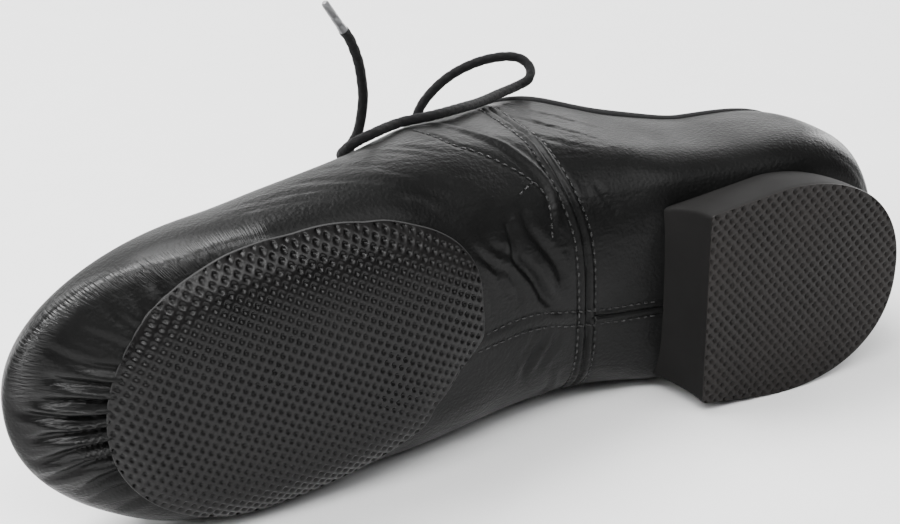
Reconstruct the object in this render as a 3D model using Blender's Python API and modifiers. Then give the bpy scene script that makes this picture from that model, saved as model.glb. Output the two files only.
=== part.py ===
"""A left split-sole jazz shoe of black leather, laced, lying on its inner side.

The shoe is modelled upright in its own axes: X runs from the heel's back to the toe, Y to the outer
side, Z up from the plane of the heel and the forefoot sole. Tables hold millimetres. An empty lays
the whole shoe on its inner side, with its sole towards -Y and its toe towards -X.
"""
import math

import bmesh
import bpy
import numpy as np
from mathutils import Euler, Matrix, Vector

MM = 0.001

# Driving sizes, in millimetres
TOE_X = 246.0
TOE_ROUND_X = 195.0
TOE_ROUND_POWER = 2.2
TOE_TIP_Z = 20.0
HEEL_BACK_X = -5.0
HEEL_ROUND_X = 38.0
HEEL_ROUND_POWER = 3.0
HEEL_FULLEST_Z = 37.0
HEEL_SEAT_CURVE = 4.5
HEEL_TOP_CURVE = 3.0
HEEL_CURVE_SPAN = 24.0
WALL = 1.8
UPPER_STATIONS = (10, 18, 11)
SEAT_GAP = 0.3
HEEL_SEAT_GAP = 0.55
PATCH_THICKNESS = 2.6
PATCH_CENTRE = (177.0, 6.6)
PATCH_HALF_LENGTH = 48.0
PATCH_HALF_WIDTH = 34.8
PATCH_TURN = -16.0
PATCH_POWER = 2.15
PATCH_MARGIN = 12.0
HEEL_LENGTH = 62.6
HEEL_WIDEST_X = 38.0
HEEL_HALF_WIDTH = 31.5
HEEL_BREAST_HALF = 28.3
HEEL_OFFSET_Y = -1.5
HEEL_TAPER = 2.0
HEEL_BACK_TAPER = 0.6
HEEL_BREAST_LEAN = 6.0
HEEL_POWER = 2.25
HEEL_MARGIN = 10.0
FOREFOOT_WINDOW_Z = (-4.0, 12.0)
HEEL_WINDOW_Z = (8.0, 19.0)
INSOLE_BACK_X = 8.0
INSOLE_FRONT_X = 232.0
INSOLE_THICKNESS = 1.8
INSOLE_LIFT = 0.9
INSOLE_REACH = 0.63
TONGUE_THICKNESS = 1.8
TONGUE_HALF_WIDTH = 21.0
TONGUE_FRONT_X = 151.0
TONGUE_BACK_X = 79.0
TONGUE_LEAN = 3.4
BINDING_RADIUS = 1.25
BINDING_FRONT_X = 88.0
LACE_RADIUS = 1.4
LACE_CLEARANCE = 0.4
LACE_SPACING = 6.7
EYELET_RADIUS = 1.7
EYELET_SETBACK = 5.0
EYELET_X = (137.0, 126.5, 116.0, 105.5, 95.0)
AGLET_LENGTH = 10.5
AGLET_RADIUS = 1.15

# Turns that settle the shoe on its inner side, in degrees, after it is tipped over by 90
LIE_ROLL = 0.0
LIE_PITCH = 0.945

# One row for each section of the last, from heel to toe. lateral and medial are the widest points,
# middle is the section's mid line, bottom, widest and top are heights, and the powers say how square
# the section is below and above its widest point.
LAST_COLUMNS = ("x", "lateral", "medial", "middle", "bottom", "widest", "top", "lower_power", "upper_power")
LAST_SECTIONS = (
    (-5, 33.6, -32.0, 1.0, 14.0, 38, 78, 5.5, 2.0),
    (40, 34.2, -32.8, 1.0, 14.0, 40, 79, 5.5, 2.1),
    (62, 36.2, -33.4, 1.5, 13.8, 42, 88, 5.0, 3.2),
    (78, 39.4, -33.6, 2.5, 13.0, 44, 94, 3.2, 3.8),
    (95, 42.4, -33.4, 3.0, 11.4, 42, 88, 2.4, 3.3),
    (110, 45.6, -33.6, 4.0, 8.9, 39, 80.5, 2.35, 2.9),
    (130, 47.8, -33.8, 5.0, 5.2, 35, 70.5, 2.5, 2.5),
    (150, 47.4, -33.6, 5.5, 3.2, 30, 60.5, 2.7, 2.2),
    (172, 46.0, -34.6, 5.5, 2.9, 26, 52.5, 2.8, 2.1),
    (192, 44.2, -35.6, 5.5, 3.2, 23, 47, 2.8, 2.1),
    (210, 42.4, -35.0, 5.5, 4.8, 21.5, 43.5, 2.7, 2.1),
    (228, 40.6, -33.0, 5.5, 8.0, 20.5, 41, 2.5, 2.1),
    (246, 39.0, -31.4, 5.5, 12.0, 20, 39, 2.3, 2.1),
)

# Height of the topline along the collar, and half the opening between the eyestays along the throat
TOPLINE = ((-5, 58.0), (20, 54.0), (42, 53.5), (56, 57.5), (68, 65.0), (78, 74.0), (86, 80.5), (92, 99.0))
THROAT = ((85, 20.0), (95, 15.0), (105, 11.0), (116, 8.5), (130, 6.0), (140, 4.0), (146, 1.6), (149, 0.0))

# The laces' free runs in the shoe's own axes, chosen from where they hang over the outer side
LOOP_ROUTE = (
    (106.8, 10.0, 92.2), (115, 18.5, 85), (126, 28, 74), (134, 33.4, 66), (140.5, 37.2, 59.5), (145, 40.6, 53.5),
    (143.8, 45, 48.6), (138.5, 47.5, 47.2), (129, 47.4, 51.5), (119, 47.8, 51.5), (109, 46.6, 56), (99, 44, 64),
    (89, 42.2, 72), (80.8, 41.4, 77.2), (76, 42.4, 78.8), (74.1, 44.6, 81.8), (75.7, 46.7, 85), (80.2, 47.4, 87),
    (87.4, 46.5, 88.7), (94.9, 43.8, 89.9), (101.3, 39.8, 90.2), (106, 34.2, 90.7), (107.3, 26, 92.6),
    (106, 17, 94.7), (104.3, 10.9, 94.5),
)
END_ROUTE = (
    (108.6, 5.5, 93.4), (114, 7.8, 94.4), (122, 15, 92), (129, 22.5, 85.5), (134, 29, 77), (136.3, 35, 70),
    (135, 41.5, 66), (133.7, 50, 65), (134.2, 56.5, 64), (135.4, 62.6, 63), (137.7, 68.8, 62), (140, 72.4, 61),
)
INNER_LOOP_ROUTE = (
    (106.4, -0.4, 92.2), (113.5, -8, 88.5), (122, -17, 81.5), (130, -24.5, 72.5), (134.5, -29, 64),
    (133.2, -31.5, 57.8), (127.5, -32.6, 55.3), (121, -32.4, 59.5), (115, -29.6, 68), (109.5, -22.5, 80),
    (105.5, -14.5, 89.5), (103.6, -8, 93.4), (102.2, -1.3, 94.8),
)
INNER_END_ROUTE = (
    (105, 3.5, 96.6), (109.5, 1.2, 99.6), (119, -4.5, 95), (130, -8.5, 83), (140, -12.5, 73), (151, -17, 65),
)
KNOT_CENTRE = (103.0, 5.0, 92.5)
KNOT_SIZE = (10.0, 12.0, 6.6)
CORD_PIECES = ("lace_knot", "lace_loop_outer", "lace_end_outer", "lace_loop_inner", "lace_end_inner",
               "aglet_outer", "aglet_inner")


def smooth_table(rows, at, column=1):
    """Reads a column of a table at a place, along a smooth curve through its rows."""
    xs = np.array([row[0] for row in rows], dtype=float)
    ys = np.array([row[column] for row in rows], dtype=float)
    at = min(max(at, xs[0]), xs[-1])
    steps = np.diff(ys) / np.diff(xs)
    slopes = np.zeros(len(xs))
    for i in range(1, len(xs) - 1):
        before, after = steps[i - 1], steps[i]
        if before * after > 0:
            slopes[i] = 2 * before * after / (before + after)
    slopes[0], slopes[-1] = steps[0], steps[-1]
    i = min(max(int(np.searchsorted(xs, at)) - 1, 0), len(xs) - 2)
    span = xs[i + 1] - xs[i]
    t = (at - xs[i]) / span
    return float((1 + 2 * t) * (1 - t) ** 2 * ys[i] + t * (1 - t) ** 2 * span * slopes[i]
                 + t * t * (3 - 2 * t) * ys[i + 1] + t * t * (t - 1) * span * slopes[i + 1])


def last_section(x):
    """The sizes of the last's section at x, rounded off towards the heel's back and the toe."""
    row = {name: smooth_table(LAST_SECTIONS, x, i) for i, name in enumerate(LAST_COLUMNS)}
    heel = max(0.0, (HEEL_ROUND_X - x) / (HEEL_ROUND_X - HEEL_BACK_X))
    toe = max(0.0, (x - TOE_ROUND_X) / (TOE_X - TOE_ROUND_X))
    heel_factor = max(0.0, 1 - min(heel, 1.0) ** HEEL_ROUND_POWER) ** (1 / HEEL_ROUND_POWER)
    toe_factor = max(0.0, 1 - min(toe, 1.0) ** TOE_ROUND_POWER) ** (1 / TOE_ROUND_POWER)
    row["outer_half"] = (row["lateral"] - row["middle"]) * heel_factor * toe_factor
    row["inner_half"] = (row["middle"] - row["medial"]) * heel_factor * toe_factor
    for height in ("bottom", "widest", "top"):
        row[height] = TOE_TIP_Z + (row[height] - TOE_TIP_Z) * toe_factor if toe > 0 else row[height]
    return row


def heel_curve(x, z):
    """How far the heel's back leans forward above and below its fullest height."""
    reach = max(0.0, (HEEL_ROUND_X - x) / (HEEL_ROUND_X - HEEL_BACK_X)) ** 2
    depth = HEEL_SEAT_CURVE if z < HEEL_FULLEST_Z else HEEL_TOP_CURVE
    return reach * depth * ((z - HEEL_FULLEST_Z) / HEEL_CURVE_SPAN) ** 2


def skin_point(x, side, turn):
    """A point of the upper's outer skin: turn runs from 0 under the foot to pi on the ridge."""
    row = last_section(x)
    half = row["outer_half"] if side > 0 else row["inner_half"]
    low = turn < math.pi / 2
    power = 2 / (row["lower_power"] if low else row["upper_power"])
    reach = row["widest"] - row["bottom"] if low else row["top"] - row["widest"]
    across = abs(math.sin(turn)) ** power
    up = abs(math.cos(turn)) ** power
    z = row["widest"] + (-up if low else up) * reach
    return np.array([x + heel_curve(x, z), row["middle"] + side * half * across, z])


def under_height(x, y):
    """Height of the upper's underside at a place on the sole."""
    seat_x = x
    z = 0.0
    for _ in range(4):
        row = last_section(max(seat_x, HEEL_BACK_X + 0.01))
        half = row["outer_half"] if y > row["middle"] else row["inner_half"]
        share = min(abs(y - row["middle"]) / max(half, 0.01), 0.985)
        power = row["lower_power"]
        z = row["widest"] - (row["widest"] - row["bottom"]) * (1 - share ** power) ** (1 / power)
        seat_x = x - heel_curve(seat_x, z)
    return z


def under_offset(x, y, distance):
    """Height of the underside moved by a distance square to it, up into the shoe when positive."""
    step = 0.5
    slope_x = (under_height(x + step, y) - under_height(x - step, y)) / (2 * step)
    slope_y = (under_height(x, y + step) - under_height(x, y - step)) / (2 * step)
    return under_height(x, y) + distance * math.sqrt(1 + slope_x ** 2 + slope_y ** 2)


def side_line(x, side, fine=160):
    """The section's line from under the foot to the ridge, with the length run along it."""
    line = np.array([skin_point(x, side, math.pi * i / fine) for i in range(fine + 1)])
    run = np.concatenate(([0.0], np.cumsum(np.linalg.norm(np.diff(line, axis=0), axis=1))))
    return line, run


def along(line, run, at):
    """The point at a length along a line."""
    return np.array([np.interp(at, run, line[:, axis]) for axis in range(3)])


def cut_length(x, side):
    """How far up the section the leather reaches: to the topline, the eyestay's edge or the ridge."""
    line, run = side_line(x, side)
    cut = run[-1] - smooth_table(THROAT, x) if x > THROAT[0][0] else run[-1]
    if x < TOPLINE[-1][0]:
        topline = smooth_table(TOPLINE, x)
        above = np.nonzero(line[:, 2] > topline)[0]
        if len(above):
            i = above[0]
            share = (topline - line[i - 1, 2]) / (line[i, 2] - line[i - 1, 2])
            cut = min(cut, run[i - 1] + share * (run[i] - run[i - 1]))
    return cut


def from_ridge(x, side, distance):
    """A point of the skin at a length down from the ridge, and the direction out of the leather."""
    step = 0.6
    line, run = side_line(x, side)
    point = along(line, run, run[-1] - distance)
    up = along(line, run, run[-1] - distance + step) - along(line, run, run[-1] - distance - step)
    ahead = []
    for place in (x - step, x + step):
        near_line, near_run = side_line(place, side)
        ahead.append(along(near_line, near_run, near_run[-1] - distance))
    normal = np.cross(up, ahead[1] - ahead[0]) * side
    return point, normal / np.linalg.norm(normal)


def stations(back, middle, toe):
    """Places along the shoe, closer together round the heel's back and the toe."""
    xs = [HEEL_ROUND_X - (HEEL_ROUND_X - HEEL_BACK_X) * math.cos(math.pi / 2 * i / back) for i in range(back)]
    xs += [HEEL_ROUND_X + (TOE_ROUND_X - HEEL_ROUND_X) * i / middle for i in range(middle)]
    xs += [TOE_ROUND_X + (TOE_X - TOE_ROUND_X) * math.sin(math.pi / 2 * i / toe) for i in range(toe + 1)]
    return xs


def material(name, colour, roughness):
    """A plain finish in the piece's own colour."""
    made = bpy.data.materials.new(name)
    made.use_nodes = True
    shader = made.node_tree.nodes["Principled BSDF"]
    shader.inputs["Base Color"].default_value = (*colour, 1.0)
    shader.inputs["Roughness"].default_value = roughness
    shader.inputs["Metallic"].default_value = 0.0
    return made


def add_object(name, mesh, finish, collection, pose):
    """Puts a mesh in the scene as one named piece of the shoe."""
    piece = bpy.data.objects.new(name, mesh)
    collection.objects.link(piece)
    if finish is not None:
        mesh.materials.append(finish)
        mesh.shade_smooth()
        mesh.set_sharp_from_angle(angle=math.radians(40))
    piece.parent = pose
    return piece


def sheet_mesh(name, rows, ring=False):
    """A mesh of quads through rows of points in millimetres, with doubled points merged."""
    mesh = bpy.data.meshes.new(name)
    bm = bmesh.new()
    grid = [[bm.verts.new(Vector(point) * MM) for point in row] for row in rows]
    for row, following in zip(grid, grid[1:]):
        for i in range(len(row) if ring else len(row) - 1):
            j = (i + 1) % len(row)
            bm.faces.new((row[i], row[j], following[j], following[i]))
    bmesh.ops.remove_doubles(bm, verts=bm.verts, dist=0.00002)
    bmesh.ops.dissolve_degenerate(bm, edges=bm.edges, dist=0.00001)
    bm.to_mesh(mesh)
    bm.free()
    return mesh


def solidify(piece, thickness, offset):
    """Gives an open sheet its thickness; offset -1 grows it behind its faces and 1 before them."""
    wall = piece.modifiers.new("wall", "SOLIDIFY")
    wall.thickness = thickness * MM
    wall.offset = offset
    wall.use_even_offset = True
    wall.use_quality_normals = True
    return wall


def patch_edge(angle, margin=0.0):
    """The forefoot sole's outline: an oval set askew across the ball."""
    along_axis = abs(math.cos(angle)) ** (2 / PATCH_POWER) * math.copysign(1, math.cos(angle))
    across_axis = abs(math.sin(angle)) ** (2 / PATCH_POWER) * math.copysign(1, math.sin(angle))
    u = (PATCH_HALF_LENGTH - margin) * along_axis
    v = (PATCH_HALF_WIDTH - margin) * across_axis
    turn = math.radians(PATCH_TURN)
    return (PATCH_CENTRE[0] + u * math.cos(turn) - v * math.sin(turn),
            PATCH_CENTRE[1] + u * math.sin(turn) + v * math.cos(turn))


def heel_edge(count, margin=0.0, lean=0.0):
    """The heel's outline: round at the back, nearly straight to the breast, and flat across it."""
    points = []
    half = HEEL_HALF_WIDTH - margin
    back = margin * HEEL_BACK_TAPER
    for i in range(count + 1):
        angle = math.pi / 2 + math.pi * i / count
        x = HEEL_WIDEST_X + (HEEL_WIDEST_X - back) * math.copysign(
            abs(math.cos(angle)) ** (2 / HEEL_POWER), math.cos(angle))
        y = half * math.copysign(abs(math.sin(angle)) ** (2 / HEEL_POWER), math.sin(angle))
        points.append((x, HEEL_OFFSET_Y + y))
    breast_x = HEEL_LENGTH + lean - (margin if margin > HEEL_TAPER else 0.0)
    breast_y = HEEL_BREAST_HALF - margin
    corners = ((HEEL_WIDEST_X, -half), (breast_x, -breast_y), (breast_x, breast_y), (HEEL_WIDEST_X, half))
    for steps, (ax, ay), (bx, by) in zip((5, 8, 5), corners, corners[1:]):
        for i in range(steps):
            share = (i + 1) / steps
            points.append((ax + (bx - ax) * share, HEEL_OFFSET_Y + ay + (by - ay) * share))
    return points[:-1]


def rings(edge, centre, shares):
    """Points on rings from an outline in to its centre."""
    return [[(centre[0] + (x - centre[0]) * share, centre[1] + (y - centre[1]) * share) for x, y in edge]
            for share in shares]


def prism_mesh(name, edge, low, high):
    """A cutter: an outline drawn up between two heights."""
    mesh = bpy.data.meshes.new(name)
    bm = bmesh.new()
    base = [bm.verts.new(Vector((x, y, low)) * MM) for x, y in edge]
    face = bm.faces.new(base)
    lifted = bmesh.ops.extrude_face_region(bm, geom=[face])["geom"]
    bmesh.ops.translate(bm, vec=Vector((0, 0, high - low)) * MM,
                        verts=[item for item in lifted if isinstance(item, bmesh.types.BMVert)])
    bmesh.ops.recalc_face_normals(bm, faces=bm.faces)
    bm.to_mesh(mesh)
    bm.free()
    return mesh


def cut_with(piece, cutter_mesh, cutters, pose):
    """Cuts a piece with a hidden solid."""
    cutter = add_object(cutter_mesh.name, cutter_mesh, None, cutters, pose)
    cutter.hide_render = True
    cutter.display_type = "WIRE"
    cut = piece.modifiers.new(cutter_mesh.name, "BOOLEAN")
    cut.operation = "DIFFERENCE"
    cut.object = cutter
    return cutter


def smooth_route(points, spacing):
    """Points at even steps along a smooth curve through a route's own points."""
    pts = np.array(points, dtype=float)
    ends = np.vstack((2 * pts[0] - pts[1], pts, 2 * pts[-1] - pts[-2]))
    fine = []
    for i in range(1, len(ends) - 2):
        a, b, c, d = ends[i - 1:i + 3]
        for t in np.linspace(0, 1, 24, endpoint=False):
            fine.append(0.5 * (2 * b + (c - a) * t + (2 * a - 5 * b + 4 * c - d) * t ** 2
                               + (3 * b - a - 3 * c + d) * t ** 3))
    fine.append(pts[-1])
    fine = np.array(fine)
    run = np.concatenate(([0.0], np.cumsum(np.linalg.norm(np.diff(fine, axis=0), axis=1))))
    count = max(3, int(round(run[-1] / spacing)) + 1)
    return [along(fine, run, at) for at in np.linspace(0, run[-1], count)]


def tube(name, points, radius, finish, collection, pose, closed=False):
    """A round cord along points in millimetres, with closed ends."""
    curve = bpy.data.curves.new(name, "CURVE")
    curve.dimensions = "3D"
    curve.bevel_depth = radius * MM
    curve.bevel_resolution = 2
    curve.use_fill_caps = True
    spline = curve.splines.new("POLY")
    spline.points.add(len(points) - 1)
    for place, point in zip(spline.points, points):
        place.co = (*(Vector(point) * MM), 1.0)
    spline.use_cyclic_u = closed
    curve.materials.append(finish)
    piece = bpy.data.objects.new(name, curve)
    collection.objects.link(piece)
    piece.parent = pose
    return piece


def build_upper(finish, collection, cutters, pose):
    """The leather upper: one wall round the foot, open at collar and throat and under the two soles."""
    side_points = 16
    rows = []
    for x in stations(*UPPER_STATIONS):
        halves = []
        for side in (1, -1):
            line, run = side_line(x, side)
            cut = cut_length(x, side)
            halves.append([along(line, run, cut * i / side_points) for i in range(side_points + 1)])
        rows.append(halves[1][::-1] + halves[0][1:])
    piece = add_object("upper", sheet_mesh("upper", rows), finish, collection, pose)
    solidify(piece, WALL, -1)
    count = 36
    window = [patch_edge(2 * math.pi * i / count, PATCH_MARGIN) for i in range(count)]
    cut_with(piece, prism_mesh("forefoot_window", window, *FOREFOOT_WINDOW_Z), cutters, pose)
    seat = heel_edge(20, HEEL_MARGIN)
    cut_with(piece, prism_mesh("heel_window", seat, *HEEL_WINDOW_Z), cutters, pose)
    punches = bmesh.new()
    for x in EYELET_X:
        for side in (1, -1):
            point, normal = from_ridge(x, side, smooth_table(THROAT, x) + EYELET_SETBACK)
            turn = Vector((0, 0, 1)).rotation_difference(Vector(normal)).to_matrix().to_4x4()
            place = Matrix.Translation(Vector(point) * MM) @ turn
            bmesh.ops.create_cone(punches, cap_ends=True, segments=10, radius1=EYELET_RADIUS * MM,
                                  radius2=EYELET_RADIUS * MM, depth=4 * WALL * MM, matrix=place)
    mesh = bpy.data.meshes.new("eyelet_punches")
    punches.to_mesh(mesh)
    punches.free()
    cut_with(piece, mesh, cutters, pose)
    return piece


def build_forefoot_sole(finish, collection, pose):
    """The forefoot sole: an oval rubber pad that follows the upper's underside."""
    count = 44
    edge = [patch_edge(2 * math.pi * i / count) for i in range(count)]
    shares = (0.0, 0.25, 0.5, 0.7, 0.86, 0.95, 1.0)
    rows = []
    for depth, order in ((SEAT_GAP + PATCH_THICKNESS, shares), (SEAT_GAP, shares[::-1])):
        for ring in rings(edge, PATCH_CENTRE, order):
            rows.append([(x, y, under_offset(x, y, -depth)) for x, y in ring])
    return add_object("forefoot_sole", sheet_mesh("forefoot_sole", rows, ring=True), finish, collection, pose)


def build_heel(finish, collection, pose):
    """The heel: one low rubber block, flat below, hollowed above to seat the upper."""
    count = 28
    foot = heel_edge(count)
    head = heel_edge(count, HEEL_TAPER, HEEL_BREAST_LEAN)
    centre = (HEEL_WIDEST_X, HEEL_OFFSET_Y)
    rows = [[(x, y, 0.0) for x, y in ring] for ring in rings(foot, centre, (0.0, 0.5, 1.0))]
    tops = [[(x, y, under_offset(x, y, -HEEL_SEAT_GAP)) for x, y in ring]
            for ring in rings(head, centre, (1.0, 0.92, 0.8, 0.55, 0.28, 0.0))]
    for share in (0.33, 0.66):
        bow = share * share
        rows.append([(a[0] + (b[0] - a[0]) * bow, a[1] + (b[1] - a[1]) * bow, b[2] * share)
                     for a, b in zip(rows[2], tops[0])])
    return add_object("heel", sheet_mesh("heel", rows + tops, ring=True), finish, collection, pose)


def build_insole(finish, collection, pose):
    """The insole: a thin sheet inside, from the heel's back to the toe."""
    across = 6
    rows = []
    for x in np.linspace(INSOLE_BACK_X, INSOLE_FRONT_X, 22):
        row = last_section(x)
        outer = row["middle"] + row["outer_half"] * INSOLE_REACH
        inner = row["middle"] - row["inner_half"] * INSOLE_REACH
        ys = [outer + (inner - outer) * i / across for i in range(across + 1)]
        rows.append([(x, y, under_offset(x, y, WALL + INSOLE_LIFT)) for y in ys])
    piece = add_object("insole", sheet_mesh("insole", rows), finish, collection, pose)
    solidify(piece, INSOLE_THICKNESS, 1)
    return piece


def build_tongue(finish, collection, pose):
    """The tongue: a soft tab under the eyestays, sewn in below the throat and free at the top."""
    across = 6
    rows = []
    for inward in np.linspace(0, 1, 13):
        x = TONGUE_FRONT_X + (TONGUE_BACK_X - TONGUE_FRONT_X) * inward
        row = []
        for i in range(-across, across + 1):
            distance = TONGUE_HALF_WIDTH * abs(i) / across
            point, normal = from_ridge(x, 1 if i >= 0 else -1, distance)
            row.append(point - normal * (WALL + 2 * SEAT_GAP + TONGUE_LEAN * inward ** 2))
        rows.append(row)
    piece = add_object("tongue", sheet_mesh("tongue", rows), finish, collection, pose)
    solidify(piece, TONGUE_THICKNESS, -1)
    return piece


def topline_edge():
    """Points on the upper's top edge with the way up the leather there, from the outer eyestay round."""
    points = []
    for side in (1, -1):
        half = []
        for x in stations(*UPPER_STATIONS):
            if x > BINDING_FRONT_X:
                break
            x = max(x, HEEL_BACK_X + 0.02)
            line, run = side_line(x, side)
            cut = cut_length(x, side)
            edge = along(line, run, cut)
            half.append((edge, along(line, run, cut + 1.0) - edge))
        points.append(half)
    return points[0][::-1] + points[1][1:]


def topline_points():
    """The bound edge's own line: clear above the leather's edge and over the middle of its wall."""
    rise = BINDING_RADIUS + 1.5 * SEAT_GAP
    edges = topline_edge()
    points = []
    for i, (edge, up) in enumerate(edges):
        ahead = edges[min(i + 1, len(edges) - 1)][0] - edges[max(i - 1, 0)][0]
        ahead /= np.linalg.norm(ahead)
        out = np.cross(ahead, up)
        out /= np.linalg.norm(out)
        points.append(edge + np.cross(out, ahead) * rise - out * WALL / 2)
    return points


def build_binding(finish, collection, pose):
    """The collar's bound edge: a soft roll along the topline."""
    return tube("collar_binding", topline_points(), BINDING_RADIUS, finish, collection, pose)


def lace_strand(start_x, start_side, end_x, end_side):
    """One run of the lace over the tongue, from an eyelet to one across the throat."""
    lift = LACE_RADIUS + LACE_CLEARANCE
    points = []
    for share in np.linspace(0, 1, 7):
        x = start_x + (end_x - start_x) * share
        near = start_side if share < 0.5 else end_side
        reach = abs(1 - 2 * share)
        point, normal = from_ridge(x, near, (smooth_table(THROAT, x) + EYELET_SETBACK) * reach)
        points.append(point + normal * lift)
    return points


def build_lacing(finish, collection, pose):
    """The lace over the throat: a bar at the toe end and crossings above it, joined as one."""
    runs = [(EYELET_X[0], 1, EYELET_X[0], -1)]
    for low, high in zip(EYELET_X, EYELET_X[1:]):
        runs += [(low, 1, high, -1), (low, -1, high, 1)]
    strands = [tube("strand", lace_strand(*run), LACE_RADIUS, finish, collection, pose) for run in runs]
    meshes = []
    for strand in strands:
        depsgraph = bpy.context.evaluated_depsgraph_get()
        mesh = bpy.data.meshes.new_from_object(strand.evaluated_get(depsgraph))
        bm = bmesh.new()
        bm.from_mesh(mesh)
        bmesh.ops.remove_doubles(bm, verts=bm.verts, dist=0.00002)
        bm.to_mesh(mesh)
        bm.free()
        meshes.append(mesh)
        curve = strand.data
        bpy.data.objects.remove(strand)
        bpy.data.curves.remove(curve)
    return meshes


def join_solids(name, meshes, collection, cutters, pose):
    """Joins overlapping solids into one with Boolean unions."""
    piece = add_object(name, meshes[0], None, collection, pose)
    for i, mesh in enumerate(meshes[1:]):
        other = add_object(f"{name}_part_{i}", mesh, None, cutters, pose)
        other.hide_render = True
        other.display_type = "WIRE"
        join = piece.modifiers.new(f"join_{i}", "BOOLEAN")
        join.operation = "UNION"
        join.object = other
    return piece


def build_knot(finish, collection, pose):
    """The bow's knot, a small firm lump over the top crossing."""
    mesh = bpy.data.meshes.new("lace_knot")
    bm = bmesh.new()
    bmesh.ops.create_uvsphere(bm, u_segments=14, v_segments=9, radius=0.5)
    bmesh.ops.scale(bm, vec=Vector(KNOT_SIZE) * MM, verts=bm.verts)
    bmesh.ops.translate(bm, vec=Vector(KNOT_CENTRE) * MM, verts=bm.verts)
    bm.to_mesh(mesh)
    bm.free()
    return add_object("lace_knot", mesh, finish, collection, pose)


def build_aglet(name, route, finish, collection, pose):
    """The plastic tip past a lace's end."""
    a, b = (np.array(point, dtype=float) for point in route[-2:])
    ahead = (b - a) / np.linalg.norm(b - a)
    points = [b + ahead * (SEAT_GAP + AGLET_LENGTH * share) for share in (0.0, 0.5, 1.0)]
    return tube(name, points, AGLET_RADIUS, finish, collection, pose)


def lay_down(pose, collection):
    """Lays the shoe on its inner side, centred over the origin with its lowest point at zero."""
    tipped = Euler((math.radians(90), 0, math.radians(180)), "XYZ").to_matrix()
    settle = Euler((math.radians(LIE_ROLL), math.radians(LIE_PITCH), 0), "XYZ").to_matrix()
    pose.matrix_world = (settle @ tipped).to_4x4()
    bpy.context.view_layer.update()
    depsgraph = bpy.context.evaluated_depsgraph_get()
    corners = []
    for piece in collection.objects:
        if piece.type == "EMPTY" or piece.name in CORD_PIECES:
            continue
        shape = piece.evaluated_get(depsgraph)
        mesh = shape.to_mesh()
        corners += [shape.matrix_world @ vertex.co for vertex in mesh.vertices]
        shape.to_mesh_clear()
    low = [min(corner[axis] for corner in corners) for axis in range(3)]
    high = [max(corner[axis] for corner in corners) for axis in range(3)]
    shift = Vector((-(low[0] + high[0]) / 2, -(low[1] + high[1]) / 2, -low[2]))
    pose.matrix_world = Matrix.Translation(shift) @ pose.matrix_world


def build_shoe():
    """Makes every piece of the shoe."""
    for old in list(bpy.data.objects):
        bpy.data.objects.remove(old)
    parts = bpy.data.collections.new("jazz_shoe")
    cutters = bpy.data.collections.new("cutters")
    bpy.context.scene.collection.children.link(parts)
    bpy.context.scene.collection.children.link(cutters)
    pose = bpy.data.objects.new("shoe_pose", None)
    parts.objects.link(pose)

    leather = material("black_leather", (0.012, 0.012, 0.013), 0.38)
    rubber = material("black_rubber", (0.035, 0.034, 0.034), 0.7)
    lining = material("insole_cloth", (0.05, 0.05, 0.055), 0.9)
    edging = material("edge_binding", (0.01, 0.01, 0.01), 0.85)
    cord = material("lace_cord", (0.012, 0.012, 0.012), 0.8)
    plastic = material("aglet_plastic", (0.12, 0.12, 0.12), 0.3)

    build_upper(leather, parts, cutters, pose)
    build_forefoot_sole(rubber, parts, pose)
    build_heel(rubber, parts, pose)
    build_insole(lining, parts, pose)
    build_tongue(leather, parts, pose)
    build_binding(edging, parts, pose)
    join_solids("lace_crossings", build_lacing(cord, parts, pose), parts, cutters, pose)
    build_knot(cord, parts, pose)
    for name, route in (("lace_loop_outer", LOOP_ROUTE), ("lace_end_outer", END_ROUTE),
                        ("lace_loop_inner", INNER_LOOP_ROUTE), ("lace_end_inner", INNER_END_ROUTE)):
        tube(name, smooth_route(route, LACE_SPACING), LACE_RADIUS, cord, parts, pose)
    build_aglet("aglet_outer", END_ROUTE, plastic, parts, pose)
    build_aglet("aglet_inner", INNER_END_ROUTE, plastic, parts, pose)
    lay_down(pose, parts)


build_shoe()
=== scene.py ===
import math

import bpy
import numpy as np
from mathutils import Matrix, Vector


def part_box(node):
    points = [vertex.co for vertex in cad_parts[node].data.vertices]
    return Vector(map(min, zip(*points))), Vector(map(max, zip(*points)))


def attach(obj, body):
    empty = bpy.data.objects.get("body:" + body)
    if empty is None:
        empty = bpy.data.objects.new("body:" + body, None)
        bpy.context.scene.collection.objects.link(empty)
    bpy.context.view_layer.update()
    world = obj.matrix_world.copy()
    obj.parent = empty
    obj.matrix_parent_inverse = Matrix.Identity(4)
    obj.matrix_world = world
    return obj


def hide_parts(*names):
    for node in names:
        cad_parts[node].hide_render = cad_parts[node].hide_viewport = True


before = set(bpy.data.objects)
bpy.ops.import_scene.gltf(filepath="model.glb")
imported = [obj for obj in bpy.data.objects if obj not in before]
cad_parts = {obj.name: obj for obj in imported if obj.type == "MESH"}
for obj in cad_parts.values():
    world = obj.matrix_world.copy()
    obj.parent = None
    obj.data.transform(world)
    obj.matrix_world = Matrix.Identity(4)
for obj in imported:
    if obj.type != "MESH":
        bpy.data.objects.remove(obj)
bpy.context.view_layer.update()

# Upper
# Soft black leather, cut as a vamp and two quarters, sewn together and pulled over a last. Its wall is
# leather and lining in one, open at the collar and the throat, and gathered in pleats under the toe.
MM = 0.001
LIE_PITCH = math.radians(0.945)
HEEL_LOW, HEEL_HIGH = (np.array(corner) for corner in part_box("heel"))
SHOE_ORIGIN = np.array([HEEL_HIGH[0] + 0.025 * MM, HEEL_LOW[1], HEEL_LOW[2] + 32.369 * MM])
TOE_X = 246.0
TOE_ROUND_X = 195.0
TOE_ROUND_POWER = 2.2
TOE_TIP_Z = 20.0
HEEL_BACK_X = -5.0
HEEL_ROUND_X = 38.0
HEEL_ROUND_POWER = 3.0
HEEL_FULLEST_Z = 37.0
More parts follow.
